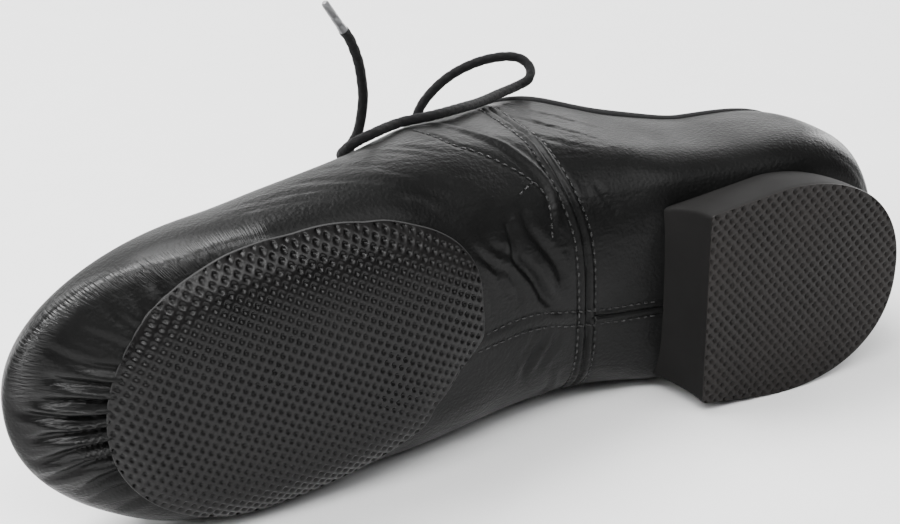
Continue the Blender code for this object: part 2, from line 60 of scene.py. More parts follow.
HEEL_SEAT_CURVE = 4.5
HEEL_TOP_CURVE = 3.0
HEEL_CURVE_SPAN = 24.0
WALL = 1.8
LAST_COLUMNS = ("x", "lateral", "medial", "middle", "bottom", "widest", "top", "lower_power", "upper_power")
LAST_SECTIONS = (
    (-5, 33.6, -32.0, 1.0, 14.0, 38, 78, 5.5, 2.0),
    (40, 34.2, -32.8, 1.0, 14.0, 40, 79, 5.5, 2.1),
    (62, 36.2, -33.4, 1.5, 13.8, 42, 88, 5.0, 3.2),
    (78, 39.4, -33.6, 2.5, 13.0, 44, 94, 3.2, 3.8),
    (95, 42.4, -33.4, 3.0, 11.4, 42, 88, 2.4, 3.3),
    (110, 45.6, -33.6, 4.0, 8.9, 39, 80.5, 2.35, 2.9),
    (130, 47.8, -33.8, 5.0, 5.2, 35, 70.5, 2.5, 2.5),
    (150, 47.4, -33.6, 5.5, 3.2, 30, 60.5, 2.7, 2.2),
    (172, 46.0, -34.6, 5.5, 2.9, 26, 52.5, 2.8, 2.1),
    (192, 44.2, -35.6, 5.5, 3.2, 23, 47, 2.8, 2.1),
    (210, 42.4, -35.0, 5.5, 4.8, 21.5, 43.5, 2.7, 2.1),
    (228, 40.6, -33.0, 5.5, 8.0, 20.5, 41, 2.5, 2.1),
    (246, 39.0, -31.4, 5.5, 12.0, 20, 39, 2.3, 2.1),
)
TOPLINE = ((-5, 58.0), (20, 54.0), (42, 53.5), (56, 57.5), (68, 65.0), (78, 74.0), (86, 80.5), (92, 99.0))
THROAT = ((85, 20.0), (95, 15.0), (105, 11.0), (116, 8.5), (130, 6.0), (140, 4.0), (146, 1.6), (149, 0.0))
THROAT_END_X = 149.0
PATCH_CENTRE = (177.0, 6.6)
PATCH_HALF_LENGTH = 48.0
PATCH_HALF_WIDTH = 34.8
PATCH_TURN = math.radians(-16.0)
PATCH_POWER = 2.15
PATCH_EXTRA = (
    (-180, 3.6), (-171, 2.4), (-163, 2.6), (-157, 0.2), (-151, -1.7), (-139, -1.9), (-128, 0.6), (-95, 0.8),
    (-50, 1.5), (-22, 0.9), (-5, 0.7), (15, -0.3), (27, 0.0), (41, 1.3), (52, 2.4), (62, 2.3), (70, 2.0),
    (80, 1.5), (95, 0.2), (112, -1.2), (136, -1.4), (144, -0.4), (153, 0.6), (161, 2.2), (168, 3.4),
    (176, 3.9), (180, 3.6),
)
EYELET_X = (137.0, 126.5, 116.0, 105.5, 95.0)
EYELET_SETBACK = 5.0
EYELET_RADIUS = 1.7
EYELET_DEPTH = 1.5
WAIST_SEAM_OUTER = ((11, 92.8), (14, 93.4), (17, 94.6), (22, 96.2), (30, 97.4), (38, 97.6), (90, 95))
WAIST_SEAM_INNER = ((11, 92.8), (13, 92.6), (18, 91.6), (40, 91.0), (90, 93))
ARCH_SEAM = ((60, -5.6), (70, -4.4), (89, -2.0), (102, 1.0), (112, 3.3), (120, 3.0), (135, 2.2))


def in_frame(points):
    """Turns points in the shoe's own axes, in millimetres, into the frame's metres."""
    p = np.asarray(points, dtype=float) * MM
    lean, rise = math.cos(LIE_PITCH), math.sin(LIE_PITCH)
    return np.stack((SHOE_ORIGIN[0] - lean * p[..., 0] + rise * p[..., 1],
                     SHOE_ORIGIN[1] + p[..., 2],
                     SHOE_ORIGIN[2] + rise * p[..., 0] + lean * p[..., 1]), axis=-1)


def read_table(rows, at, column=1):
    """Reads a column of a table along a smooth curve through its rows."""
    xs = np.array([row[0] for row in rows], dtype=float)
    ys = np.array([row[column] for row in rows], dtype=float)
    at = np.clip(at, xs[0], xs[-1])
    steps = np.diff(ys) / np.diff(xs)
    both = steps[:-1] * steps[1:]
    inner = np.where(both > 0, 2 * both / np.where(both > 0, steps[:-1] + steps[1:], 1), 0)
    slopes = np.concatenate((steps[:1], inner, steps[-1:]))
    i = np.clip(np.searchsorted(xs, at) - 1, 0, len(xs) - 2)
    span = xs[i + 1] - xs[i]
    t = (at - xs[i]) / span
    return ((1 + 2 * t) * (1 - t) ** 2 * ys[i] + t * (1 - t) ** 2 * span * slopes[i]
            + t * t * (3 - 2 * t) * ys[i + 1] + t * t * (t - 1) * span * slopes[i + 1])


def ramp(value, start, end):
    """Goes evenly from 0 at one value to 1 at another, and stays level past both."""
    return np.clip((value - start) / (end - start), 0, 1)


def bell(distance, width):
    """1 on a line, fading away over a width to either side."""
    return np.exp(-(distance / width) ** 2)


def run_along(line):
    """How far along a line each of its points is."""
    return np.concatenate(([0.0], np.cumsum(np.linalg.norm(np.diff(line, axis=0), axis=1))))


def unit(vectors):
    """Vectors brought to a length of 1."""
    return vectors / np.linalg.norm(vectors, axis=-1, keepdims=True)


def last_section(x):
    """The sizes of the last's section at x, rounded off towards the heel's back and the toe."""
    row = {name: read_table(LAST_SECTIONS, x, i) for i, name in enumerate(LAST_COLUMNS)}
    heel = ramp(x, HEEL_ROUND_X, HEEL_BACK_X)
    toe = ramp(x, TOE_ROUND_X, TOE_X)
    toe_factor = (1 - toe ** TOE_ROUND_POWER) ** (1 / TOE_ROUND_POWER)
    narrow = (1 - heel ** HEEL_ROUND_POWER) ** (1 / HEEL_ROUND_POWER) * toe_factor
    row["outer_half"] = (row["lateral"] - row["middle"]) * narrow
    row["inner_half"] = (row["middle"] - row["medial"]) * narrow
    for height in ("bottom", "widest", "top"):
        row[height] = np.where(toe > 0, TOE_TIP_Z + (row[height] - TOE_TIP_Z) * toe_factor, row[height])
    return row


def heel_curve(x, z):
    """How far the heel's back leans forward above and below its fullest height."""
    reach = np.clip((HEEL_ROUND_X - x) / (HEEL_ROUND_X - HEEL_BACK_X), 0, None) ** 2
    depth = np.where(z < HEEL_FULLEST_Z, HEEL_SEAT_CURVE, HEEL_TOP_CURVE)
    return reach * depth * ((z - HEEL_FULLEST_Z) / HEEL_CURVE_SPAN) ** 2


def skin(x, side, turn):
    """Points of the outer skin: turn runs from 0 under the foot to pi on the ridge."""
    row = last_section(x)
    half = row["outer_half"] if side > 0 else row["inner_half"]
    low = turn < math.pi / 2
    power = 2 / np.where(low, row["lower_power"], row["upper_power"])
    reach = np.where(low, row["bottom"] - row["widest"], row["top"] - row["widest"])
    across = np.abs(np.sin(turn)) ** power
    z = row["widest"] + np.abs(np.cos(turn)) ** power * reach
    return np.stack((x + heel_curve(x, z), row["middle"] + side * half * across, z), axis=-1)


def side_line(x, side):
    """The section's line from under the foot to the ridge, with its turns and the length run along it."""
    turns = np.linspace(0, math.pi, 321)
    line = skin(x, side, turns)
    return turns, line, run_along(line)


def leather_reach(x, side):
    """How far up the section the leather goes: to the topline, the eyestay's edge or the ridge."""
    turns, line, run = side_line(x, side)
    reach = run[-1] - read_table(THROAT, x) if x > THROAT[0][0] else run[-1]
    if x < TOPLINE[-1][0]:
        above = np.nonzero(line[:, 2] > read_table(TOPLINE, x))[0]
        if len(above):
            i = above[0]
            reach = min(reach, np.interp(read_table(TOPLINE, x), line[i - 1:i + 1, 2], run[i - 1:i + 1]))
    return reach


def on_side(x, side, lengths):
    """Points of the skin at lengths up the section from under the foot."""
    turns, line, run = side_line(x, side)
    return skin(x, side, np.interp(lengths, run, turns))


def from_ridge(x, side, distance):
    """A point of the skin at a length down from the ridge, and the direction out of the leather."""
    step = 0.6
    run = side_line(x, side)[2][-1]
    low, point, high = on_side(x, side, run - distance + np.array([-step, 0, step]))
    before, after = (on_side(at, side, np.array([side_line(at, side)[2][-1] - distance]))[0]
                     for at in (x - step, x + step))
    return point, unit(np.cross(high - low, after - before) * side)


def smooth_route(points, spacing):
    """Points at even steps along a smooth curve through a route's own points."""
    pts = np.array(points, dtype=float)
    ends = np.vstack((2 * pts[0] - pts[1], pts, 2 * pts[-1] - pts[-2]))
    t = np.linspace(0, 1, 24, endpoint=False)[:, None]
    fine = []
    for a, b, c, d in zip(ends, ends[1:], ends[2:], ends[3:]):
        fine.append(0.5 * (2 * b + (c - a) * t + (2 * a - 5 * b + 4 * c - d) * t ** 2
                           + (3 * b - a - 3 * c + d) * t ** 3))
    fine = np.vstack(fine + [pts[-1:]])
    run = run_along(fine)
    at = np.linspace(0, run[-1], max(3, int(round(run[-1] / spacing)) + 1))
    return np.stack([np.interp(at, run, fine[:, axis]) for axis in range(3)], axis=-1)


def get_points(piece):
    """The places of a piece's points."""
    flat = np.empty(3 * len(piece.data.vertices))
    piece.data.vertices.foreach_get("co", flat)
    return flat.reshape(-1, 3)


def set_points(piece, points):
    """Moves a piece's points to places in the frame."""
    piece.data.vertices.foreach_set("co", np.asarray(points, dtype=float).ravel())
    piece.data.update()


def corner_points(piece):
    """The number of the point at each corner of a piece's faces."""
    corners = np.empty(len(piece.data.loops), dtype=int)
    piece.data.loops.foreach_get("vertex_index", corners)
    return corners


def mark(piece, name, values):
    """Gives each of a piece's points a number that its finish reads."""
    piece.data.attributes.new(name, "FLOAT", "POINT").data.foreach_set("value", values)


def grid_piece(name, columns, rows):
    """A flat sheet of quads as a piece's start, with the column and row of each of its points."""
    bpy.ops.object.select_all(action="DESELECT")
    bpy.ops.mesh.primitive_grid_add(x_subdivisions=columns - 1, y_subdivisions=rows - 1, size=2)
    piece = bpy.context.object
    piece.name = name
    piece.data.name = name
    flat = (get_points(piece) + 1) / 2
    column = np.rint(flat[:, 0] * (columns - 1)).astype(int)
    row = np.rint(flat[:, 1] * (rows - 1)).astype(int)
    return piece, column, row


def drop_faces(piece, gone):
    """Deletes the marked faces of the piece that was made last."""
    bpy.ops.object.mode_set(mode="EDIT")
    bpy.ops.mesh.select_mode(type="FACE")
    bpy.ops.mesh.select_all(action="DESELECT")
    bpy.ops.object.mode_set(mode="OBJECT")
    piece.data.polygons.foreach_set("select", gone)
    bpy.ops.object.mode_set(mode="EDIT")
    bpy.ops.mesh.delete(type="FACE")
    bpy.ops.object.mode_set(mode="OBJECT")


def close_seams(piece, angle, merge=0.004, fill=False):
    """Merges a piece's doubled points, fills its open ends, turns its faces outwards and smooths them.

    Edges sharper than the angle, in degrees, stay sharp."""
    bpy.context.view_layer.objects.active = piece
    bpy.ops.object.mode_set(mode="EDIT")
    bpy.ops.mesh.select_all(action="SELECT")
    bpy.ops.mesh.remove_doubles(threshold=merge * MM)
    bpy.ops.mesh.dissolve_degenerate(threshold=merge * MM / 4)
    bpy.ops.mesh.select_all(action="SELECT")
    if fill:
        bpy.ops.mesh.fill_holes(sides=0)
        bpy.ops.mesh.select_all(action="SELECT")
    bpy.ops.mesh.normals_make_consistent(inside=False)
    bpy.ops.object.mode_set(mode="OBJECT")
    bpy.ops.object.shade_smooth_by_angle(angle=math.radians(angle))


def near_line(points, line):
    """Each point's distance from a line on the leather, and how far along the line its nearest place is."""
    legs = np.linalg.norm(np.diff(line, axis=0), axis=1)
    runs = run_along(line)
    best = np.full(len(points), np.inf)
    place = np.zeros(len(points))
    for a, b, start, leg in zip(line, line[1:], runs, legs):
        t = np.clip((points - a) @ (b - a) / leg ** 2, 0, 1)
        gap = np.linalg.norm(points - a - t[:, None] * (b - a), axis=1)
        nearer = gap < best
        best[nearer] = gap[nearer]
        place[nearer] = (start + t[nearer] * leg) / runs[-1]
    return best, place


def crease(lift, points, route, depth, width, lip=0.35, pleat=False):
    """Presses a fold into the leather along a line, with its sides raised a little.

    It fades out at both ends. A pleat is sharper, and fades only towards its far end."""
    line = smooth_route(route, 1.5)
    margin = 4 * width
    near = np.all((points > line.min(axis=0) - margin) & (points < line.max(axis=0) + margin), axis=1)
    gap, share = near_line(points[near], line)
    strength = np.sin(math.pi * np.clip(share, 0.02, 0.98)) ** 0.6
    valley = bell(gap, width)
    if pleat:
        strength = np.clip(1 - share ** 2, 0, 1) ** 0.8
        valley = np.exp(-(gap / width) ** 1.6)
    lift[near] += depth * strength * (lip * bell(gap - 2 * width, width) - valley)


def waist_seam_x(y, z):
    """Where the seam between the vamp's arch and the quarters runs round the waist."""
    outer = read_table(WAIST_SEAM_OUTER, z)
    inner = read_table(WAIST_SEAM_INNER, z)
    return inner + (outer - inner) * ramp(y, -6, 6)


def centre_seam_y(x):
    """Where the seam along the arch's middle runs."""
    return read_table(ARCH_SEAM, x)


def seam_relief(distance, parts):
    """A seam's lips, grooves and stitch troughs: each has a height, a distance from the seam and a width."""
    return sum(height * bell(distance - away, width) for height, away, width in parts)


PLEATS = (
    (((220, 17, 8), (226, 18.5, 10.5), (232, 21.5, 13), (235, 24, 15)), 0.6),
    (((221, 12.5, 8.5), (229, 14, 11), (233, 15, 12.5), (237, 16.5, 14.5)), 1.0),
    (((222, 8.5, 8.5), (229.5, 9, 11), (235, 9.5, 13), (240, 10.5, 15.5)), 1.15),
    (((222.5, 5, 8.8), (230, 4.5, 11), (235, 5, 12.7), (239.5, 6, 15), (244, 7.5, 17.5)), 1.2),
    (((223.5, 1.5, 9), (230.5, 0.5, 11.5), (237, 0, 14), (242.5, -1, 16.5)), 1.2),
    (((223.5, -2.5, 9), (230.5, -4, 11.5), (237.5, -6.5, 14.5), (242, -7.5, 17.5)), 1.2),
    (((223, -6.5, 9.3), (229, -8, 11.5), (235.5, -11.5, 14.5), (240, -13, 18.5)), 1.1),
    (((222, -10.5, 9.5), (227, -13.5, 11.5), (232.5, -17.5, 15)), 1.0),
    (((220.5, -15, 9.5), (225, -17, 11.5), (230, -20.5, 15)), 0.8),
    (((217, -19.5, 9.5), (221, -22, 12), (225, -25, 16)), 0.6),
    (((217, 21.5, 8), (221, 24, 9.5), (225, 26, 11.5), (228.5, 28.5, 14)), 0.45),
    (((214, 26, 8), (217.5, 28.5, 9.5), (220, 31.5, 11.5), (221, 34, 13.5)), 0.35),
    (((212, 29, 8), (213.5, 33, 10), (214, 36, 12)), 0.3),
    (((207.5, 32.5, 8.5), (208.5, 35.5, 10), (209, 38, 12)), 0.25),
)
ARCH_CREASES = (
    (((116.3, 32.3, 13.2), (115.5, 27.8, 11.4), (114.4, 21.5, 9.8), (109.9, 14.8, 9.5), (106.9, 9.2, 9.6),
      (102.5, 4.2, 10.2)), 1.5, 1.35),
    (((122, 28, 10), (117, 23, 9.6), (113, 18, 9.4)), 0.8, 1.1),
    (((111.4, 33.8, 15.5), (109.8, 28.2, 13), (106.3, 22.8, 11.9), (102.6, 17.7, 11.3), (100, 10.5, 11)),
     0.9, 1.3),
    (((125.9, 28.3, 8.9), (123, 23.5, 8.2), (118, 18.9, 8.4), (115.7, 14.4, 8.3), (114.4, 8.5, 8.2)),
     0.75, 1.0),
    (((127.4, 26.8, 8.1), (121.6, 20.5, 7.9), (118.8, 15.4, 7.8), (115.7, 9.5, 7.9)), 0.5, 0.9),
    (((123.8, 28.7, 9.6), (118.8, 22, 8.9), (114, 15.3, 8.8), (110.5, 8.3, 8.9)), 0.6, 0.95),
    (((131.5, 32.5, 9.4), (126.5, 26.5, 8.2), (121, 21, 8.1)), 0.4, 0.9),
    (((113, 27, 12), (109.5, 21.5, 11), (106, 15.5, 10.6), (103, 9.5, 10.6)), -0.5, 2.0),
    (((132, 27, 7.8), (127, 20.5, 7.3), (124.5, 14.5, 6.8), (124, 9, 6.3)), 0.3, 0.9),
    (((104.9, 0.3, 9.9), (106.7, -3.4, 9.8), (109.7, -6.9, 9.8), (112.4, -11.9, 10.3), (112, -15.5, 11.5)),
     0.8, 1.4),
    (((109.3, 0, 9.1), (110.7, -3, 9), (113, -5.7, 9), (114.8, -9, 9.2)), 0.5, 1.1),
    (((102.5, -1.5, 10.3), (103, -5.8, 10.8), (106, -9.5, 10.8), (108.5, -14, 11.5)), 0.5, 1.4),
    (((86.5, 33, 21), (84.5, 29.5, 18), (83, 26, 15.5)), 0.4, 0.9),
    (((83, 30, 18.5), (81.5, 26, 15.5)), 0.4, 0.9),
)
VAMP_WRINKLES = (
    (((186, 44, 24), (178, 45.5, 23), (168, 46, 22.5), (156, 45.5, 19), (146.5, 44, 16), (132.5, 37, 12)),
     0.3),
    (((190, 43, 21), (174, 45.5, 20), (162, 45, 18), (150, 43.5, 15), (140.5, 40, 12.5), (133, 35, 10.5)),
     0.28),
    (((170, 46.5, 29), (154.5, 47, 22.5), (143, 45, 18.5), (133.5, 41, 15), (126, 37, 13)), 0.25),
    (((152, 47.5, 29), (141.5, 46, 22), (132.5, 43.5, 18), (121, 38, 15)), 0.25),
    (((160, 47, 33), (146, 47.5, 27), (136, 46.5, 22)), 0.2),
    (((140, 47.5, 38), (132, 47.5, 32), (126, 46.5, 28)), 0.25),
    (((150, 46, 40), (140, 47.5, 33), (131, 46.5, 26)), 0.18),
    (((98, 43, 58), (91, 41.8, 51), (84, 40.3, 42), (78, 39, 35)), 0.35),
    (((101.5, 44, 48), (97.5, 42.8, 40), (90, 40.8, 34), (82, 38.5, 30)), 0.3),
    (((92, 42, 66), (84, 40.5, 58), (77, 39, 49), (70, 37.5, 42)), 0.25),
    (((78, 37, 27), (72, 36, 31), (64, 35.5, 38)), 0.2),
    (((74, 36, 24), (68, 35.5, 28), (60, 35, 34)), 0.16),
    (((100, -33.5, 50), (92, -33.3, 42), (84, -33.4, 34)), 0.25),
    (((140, -33.5, 30), (126, -33.5, 24), (112, -32, 18)), 0.25),
)
QUARTER_EDGE = ((103.5, 22.5, 12.5), (102.5, 28, 14.8), (102, 33, 18), (104.5, 37, 20.5), (109, 40.6, 23),
                (113.5, 43.2, 25.6), (118, 45.6, 28.6), (122, 47, 32), (124, 47.5, 37))
QUARTER_EDGE_TOP = ((124, 47.5, 37), (127, 46.5, 45), (131, 41, 54), (137, 30, 61), (142, 19, 63))
QUARTER_ROLL = ((101, 22, 12.8), (100.3, 29.5, 16), (99.6, 34.5, 19.5), (101.5, 38.5, 23), (105, 42, 27),
                (108.5, 44.5, 32), (113, 46, 38), (117, 46.5, 45), (121, 45, 52))
TOE_CREST = ((241, 12, 17.6), (238, 23.5, 17), (230, 30.5, 16.7), (220.5, 35.8, 15.4), (211, 38.4, 13.5),
             (202.5, 39.5, 11.6), (192, 41.2, 12), (182, 42, 12))
WAIST_ROWS = (-2.8, 2.8)
ARCH_ROWS = (-2.4, 2.0)
WAIST_RELIEF = ((0.4, 1.4, 0.8), (-0.6, 0.0, 0.55), (-0.3, WAIST_ROWS[1], 0.6))
ARCH_RELIEF = ((0.35, 0.0, 1.7), (-0.1, 0.0, 0.45), (-0.35, ARCH_ROWS[1], 0.6), (-0.35, ARCH_ROWS[0], 0.6))
ARCH_RELIEF_BEHIND_WAIST = ((-0.75, 0.0, 0.45),)
INNER_PULL = 0.72
PLEAT_DEPTH = 1.4
PLEAT_WIDTH = 1.1
COUNTER_FULLNESS = 2.2
SLACK_HEIGHT = 0.16
HEEL_ROWS = 62
BODY_ROWS = ((HEEL_ROUND_X, 88.0, 62), (88.0, 102.0, 40), (102.0, 135.0, 55), (135.0, TOE_ROUND_X, 61))
TOE_ROWS = 100
SIDE_COLUMNS = 104
COLUMN_CROWD = 0.3
LINING_COLUMNS = 16


def middle_column(x):
    """How far from the last's middle line the leather's middle column runs, to follow the arch's seam."""
    return ramp(x, 40, 64) * ramp(x, 170, 136) * (centre_seam_y(x) - last_section(x)["middle"])


def across_section(x, lengths):
    """Points of the skin at lengths to either side of the middle line, negative on the inner side."""
    outer = on_side(x, 1, np.maximum(lengths, 0))
    inner = on_side(x, -1, np.maximum(-lengths, 0))
    return np.where((lengths > 0)[:, None], outer, inner)


heel_turns = [math.pi / 2 * i / HEEL_ROWS for i in range(HEEL_ROWS)]
toe_turns = [math.pi / 2 * i / TOE_ROWS for i in range(TOE_ROWS + 1)]
upper_x = [HEEL_ROUND_X - (HEEL_ROUND_X - HEEL_BACK_X) * math.cos(turn) for turn in heel_turns]
for start, end, count in BODY_ROWS:
    upper_x += list(np.linspace(start, end, count, endpoint=False))
upper_x += [TOE_ROUND_X + (TOE_X - TOE_ROUND_X) * math.sin(turn) for turn in toe_turns]
upper_x = np.array(upper_x)
throat_row = int(np.argmin(np.abs(upper_x - THROAT_END_X)))
upper_x[throat_row] = THROAT_END_X
even = np.linspace(0, 1, SIDE_COLUMNS + 1)
shares = even - COLUMN_CROWD * np.sin(2 * math.pi * even) / (2 * math.pi)
skin_rows = []
for x in upper_x:
    start = middle_column(x)
    outer = start + (leather_reach(x, 1) - start) * shares
    inner = start - (leather_reach(x, -1) + start) * shares
    skin_rows.append(across_section(x, np.concatenate((inner[::-1], outer[1:]))))
skin_rows = np.array(skin_rows)

ahead = np.gradient(skin_rows, axis=0)
aside = np.gradient(skin_rows, axis=1)
out = np.cross(aside, ahead)
out[-1] = (1, 0, 0)
out[0, :, 1] = 0
out[throat_row:, 0] += out[throat_row:, -1]
out[throat_row:, -1] = out[throat_row:, 0]
out /= np.maximum(np.linalg.norm(out, axis=2, keepdims=True), 1e-12)

# The leather's own relief: seams, the quarters' edges, creases, wrinkles and the toe's pleats
leather = skin_rows.reshape(-1, 3)
lift = np.zeros(len(leather))
px, py, pz = leather.T
facing_down = np.clip(-out.reshape(-1, 3)[:, 2] * 1.6, 0, 1)
waist = px - waist_seam_x(py, pz)
lift += ramp(pz, 90, 82) * seam_relief(np.abs(waist), WAIST_RELIEF)
centre = py - centre_seam_y(px)
lift += facing_down * ramp(px, 64, 68) * ramp(px, 140, 136) * (
    seam_relief(centre, ARCH_RELIEF) + ramp(px, 94, 90) * seam_relief(centre, ARCH_RELIEF_BEHIND_WAIST))
for route, depth in PLEATS:
    crease(lift, leather, route, PLEAT_DEPTH * depth, PLEAT_WIDTH, lip=0.45, pleat=True)
for route, depth, width in ARCH_CREASES:
    crease(lift, leather, route, depth, width)
for route, depth in VAMP_WRINKLES:
    crease(lift, leather, route, depth, width=1.0, lip=0.5)
crease(lift, leather, TOE_CREST, depth=-0.7, width=2.2, lip=0.0)
for pull in (1, -INNER_PULL):
    edge = np.array(QUARTER_EDGE + QUARTER_EDGE_TOP[1:]) * (1, pull, 1)
    crease(lift, leather, edge, depth=0.4, width=0.9, lip=0.2)
    crease(lift, leather, np.array(QUARTER_ROLL) * (1, pull, 1), depth=-0.65, width=1.2, lip=0.3)


def patch_place(x, y):
    """Where a place lies round the forefoot sole: its angle, its distance out, and the edge's."""
    u = (x - PATCH_CENTRE[0]) * math.cos(PATCH_TURN) + (y - PATCH_CENTRE[1]) * math.sin(PATCH_TURN)
    v = (y - PATCH_CENTRE[1]) * math.cos(PATCH_TURN) - (x - PATCH_CENTRE[0]) * math.sin(PATCH_TURN)
    angle = np.arctan2(v, u)
    oval = (np.abs(np.cos(angle) / PATCH_HALF_LENGTH) ** PATCH_POWER
            + np.abs(np.sin(angle) / PATCH_HALF_WIDTH) ** PATCH_POWER) ** (-1 / PATCH_POWER)
    return angle, np.hypot(u, v), oval + read_table(PATCH_EXTRA, np.degrees(angle))


patch_angle, patch_radius, patch_edge = patch_place(px, py)
past_patch = patch_radius - patch_edge
toe_side = ramp(px, 160, 190) * ramp(pz, 34, 22)
lift += 0.45 * facing_down * bell(past_patch, 4)
crest_gap = near_line(leather, smooth_route(TOE_CREST, 1.5))[0]
slack = (np.sin(px / 11 + 1.3 * np.sin(pz / 9)) * np.sin(pz / 8 + py / 13 + 0.7)
         + 0.5 * np.sin(px / 5.3 + pz / 4.1 + 2.0) * np.sin(pz / 6.2 - py / 7 + 0.4))
soft_zone = ramp(px, 66, 80) * ramp(px, 210, 180)
lift += COUNTER_FULLNESS * (1 - facing_down) * ramp(px, 32, 2) ** 1.5 * ramp(pz, 60, 30)
lift += SLACK_HEIGHT * slack * soft_zone
for x in EYELET_X:
    for side in (1, -1):
        hole = from_ridge(x, side, read_table(THROAT, x) + EYELET_SETBACK)[0]
        gap = np.linalg.norm(leather - hole, axis=1)
        lift -= EYELET_DEPTH * ramp(gap, EYELET_RADIUS + 0.5, EYELET_RADIUS - 0.3)
skin_columns = skin_rows.shape[1]
from_edge = np.arange(len(leather)) % skin_columns
lift *= ramp(np.minimum(from_edge, skin_columns - 1 - from_edge), 0, 3)
outer_points = skin_rows + out * lift.reshape(skin_rows.shape[:2])[..., None]

# The grid's columns go over the outer skin, across the cut edge and back through the lining
lining_columns = np.rint(np.linspace(2 * SIDE_COLUMNS, 0, 2 * LINING_COLUMNS + 1)).astype(int)
lining_points = skin_rows[:, lining_columns] - out[:, lining_columns] * WALL
wall_points = np.concatenate((outer_points, lining_points, outer_points[:, :1]), axis=1)
upper, column, row = grid_piece("upper_leather", wall_points.shape[1], len(upper_x))
set_points(upper, in_frame(wall_points[row, column]))
gather = np.zeros((len(leather), 3))
gather[:, 0] = patch_angle * 55
gather[:, 1] = past_patch
pleated = 0.3 * ramp(py, 22, 14) * bell(past_patch - 11, 7)
gather[:, 2] = toe_side * (0.9 * bell(crest_gap, 2.6) + pleated)
gather = gather.reshape(*skin_rows.shape)
gather = np.concatenate((gather, np.zeros_like(lining_points), gather[:, :1]), axis=1)
upper.data.attributes.new("gather", "FLOAT_VECTOR", "POINT").data.foreach_set(
    "vector", gather[row, column].ravel())
limp = (soft_zone * ramp(past_patch, 0, 6)).reshape(skin_rows.shape[:2])
limp = np.concatenate((limp, np.zeros(lining_points.shape[:2]), limp[:, :1]), axis=1)
mark(upper, "limp", limp[row, column])
corners = corner_points(upper)
face_columns = column[corners].reshape(-1, 4)
first_column = face_columns.min(axis=1)
last_column = face_columns.max(axis=1)
back_edge = wall_points.shape[1] - 1
over_edge = (first_column == skin_columns - 1) | (last_column == back_edge)
in_lining = (first_column >= skin_columns) & (last_column < back_edge)
upper.data.polygons.foreach_set("material_index", in_lining.astype(int))
drop_faces(upper, over_edge & (row[corners].reshape(-1, 4).min(axis=1) >= throat_row))
close_seams(upper, 55)


def node(tree, kind, inputs=None, **settings):
    """Adds a shader node, with values or links on its sockets."""
    made = tree.nodes.new(kind)
    for name, value in settings.items():
        setattr(made, name, value)
    for name, value in (inputs or {}).items():
        if isinstance(value, bpy.types.NodeSocket):
            tree.links.new(value, made.inputs[name])
        else:
            made.inputs[name].default_value = value
    return made


def calc(tree, operation, *values, clamp=False):
    """A value worked out from others."""
    return node(tree, "ShaderNodeMath", dict(enumerate(values)), operation=operation,
                use_clamp=clamp).outputs[0]


def noise(tree, place, scale, detail, **more):
    """A soft mask that changes from place to place."""
    return node(tree, "ShaderNodeTexNoise", {"Vector": place, "Scale": scale, "Detail": detail,
                                             **more}).outputs["Fac"]


def spread(tree, mask, low, high, start=0.3, end=0.7):
    """Values from low to high where a mask goes from start to end."""
    return node(tree, "ShaderNodeMapRange", {"Value": mask, "From Min": start, "From Max": end,
                                             "To Min": low, "To Max": high}).outputs["Result"]


def two_tones(tree, mask, low, high, start=0.3, end=0.75):
    """Colours from low to high where a mask goes from start to end."""
    tone = node(tree, "ShaderNodeValToRGB", {"Fac": mask})
    for stop, at, colour in zip(tone.color_ramp.elements, (start, end), (low, high)):
        stop.position = at
        stop.color = (*colour, 1)
    return tone.outputs["Color"]


def bump(tree, height, strength, distance, **more):
    """A normal that shows a height as relief."""
    return node(tree, "ShaderNodeBump", {"Height": height, "Strength": strength, "Distance": distance,
                                         **more}).outputs[0]


def wire(tree, shader, **links):
    """Links what changes over the surface to the shader's sockets."""
    for socket, value in links.items():
        tree.links.new(value, shader.inputs[socket.replace("_", " ")])


def new_group(name, inputs, outputs):
    """Starts a shader node group with named sockets."""
    group = bpy.data.node_groups.new(name, "ShaderNodeTree")
    for socket, kind in inputs:
        group.interface.new_socket(socket, in_out="INPUT", socket_type=kind)
    for socket, kind in outputs:
        group.interface.new_socket(socket, in_out="OUTPUT", socket_type=kind)
    return group, group.nodes.new("NodeGroupInput").outputs, group.nodes.new("NodeGroupOutput")


def new_finish(name, **plain):
    """Starts a material, with its plain values on the shader's own sockets."""
    finish = bpy.data.materials.new(name)
    finish.use_nodes = True
    shader = finish.node_tree.nodes["Principled BSDF"]
    for socket, value in plain.items():
        shader.inputs[socket.replace("_", " ")].default_value = value
    return finish, finish.node_tree, shader


# The grain group is the pebbled face of the leather: small cells with fine pores, and duller blotches
grain_group, grain_in, grain_out = new_group(
    "leather_grain", (("Place", "NodeSocketVector"), ("Cells per metre", "NodeSocketFloat")),
    (("Height", "NodeSocketFloat"), ("Blotch", "NodeSocketFloat")))
warp = node(grain_group, "ShaderNodeTexNoise", {"Vector": grain_in[0], "Scale": 900.0, "Detail": 2.0})
bent = node(grain_group, "ShaderNodeVectorMath", {0: warp.outputs["Color"], 1: (0.0006, 0.0006, 0.0006)},
            operation="MULTIPLY")
bent = node(grain_group, "ShaderNodeVectorMath", {0: bent.outputs[0], 1: grain_in[0]}, operation="ADD")
cells = node(grain_group, "ShaderNodeTexVoronoi", {"Vector": bent.outputs[0], "Scale": grain_in[1]},
             feature="SMOOTH_F1")
pores = noise(grain_group, grain_in[0], 2600.0, 3.0)
domes = calc(grain_group, "SUBTRACT", 1.0, cells.outputs["Distance"])
wire(grain_group, grain_out, Height=calc(grain_group, "MULTIPLY_ADD", pores, 0.5, domes),
     Blotch=noise(grain_group, grain_in[0], 45.0, 4.0))

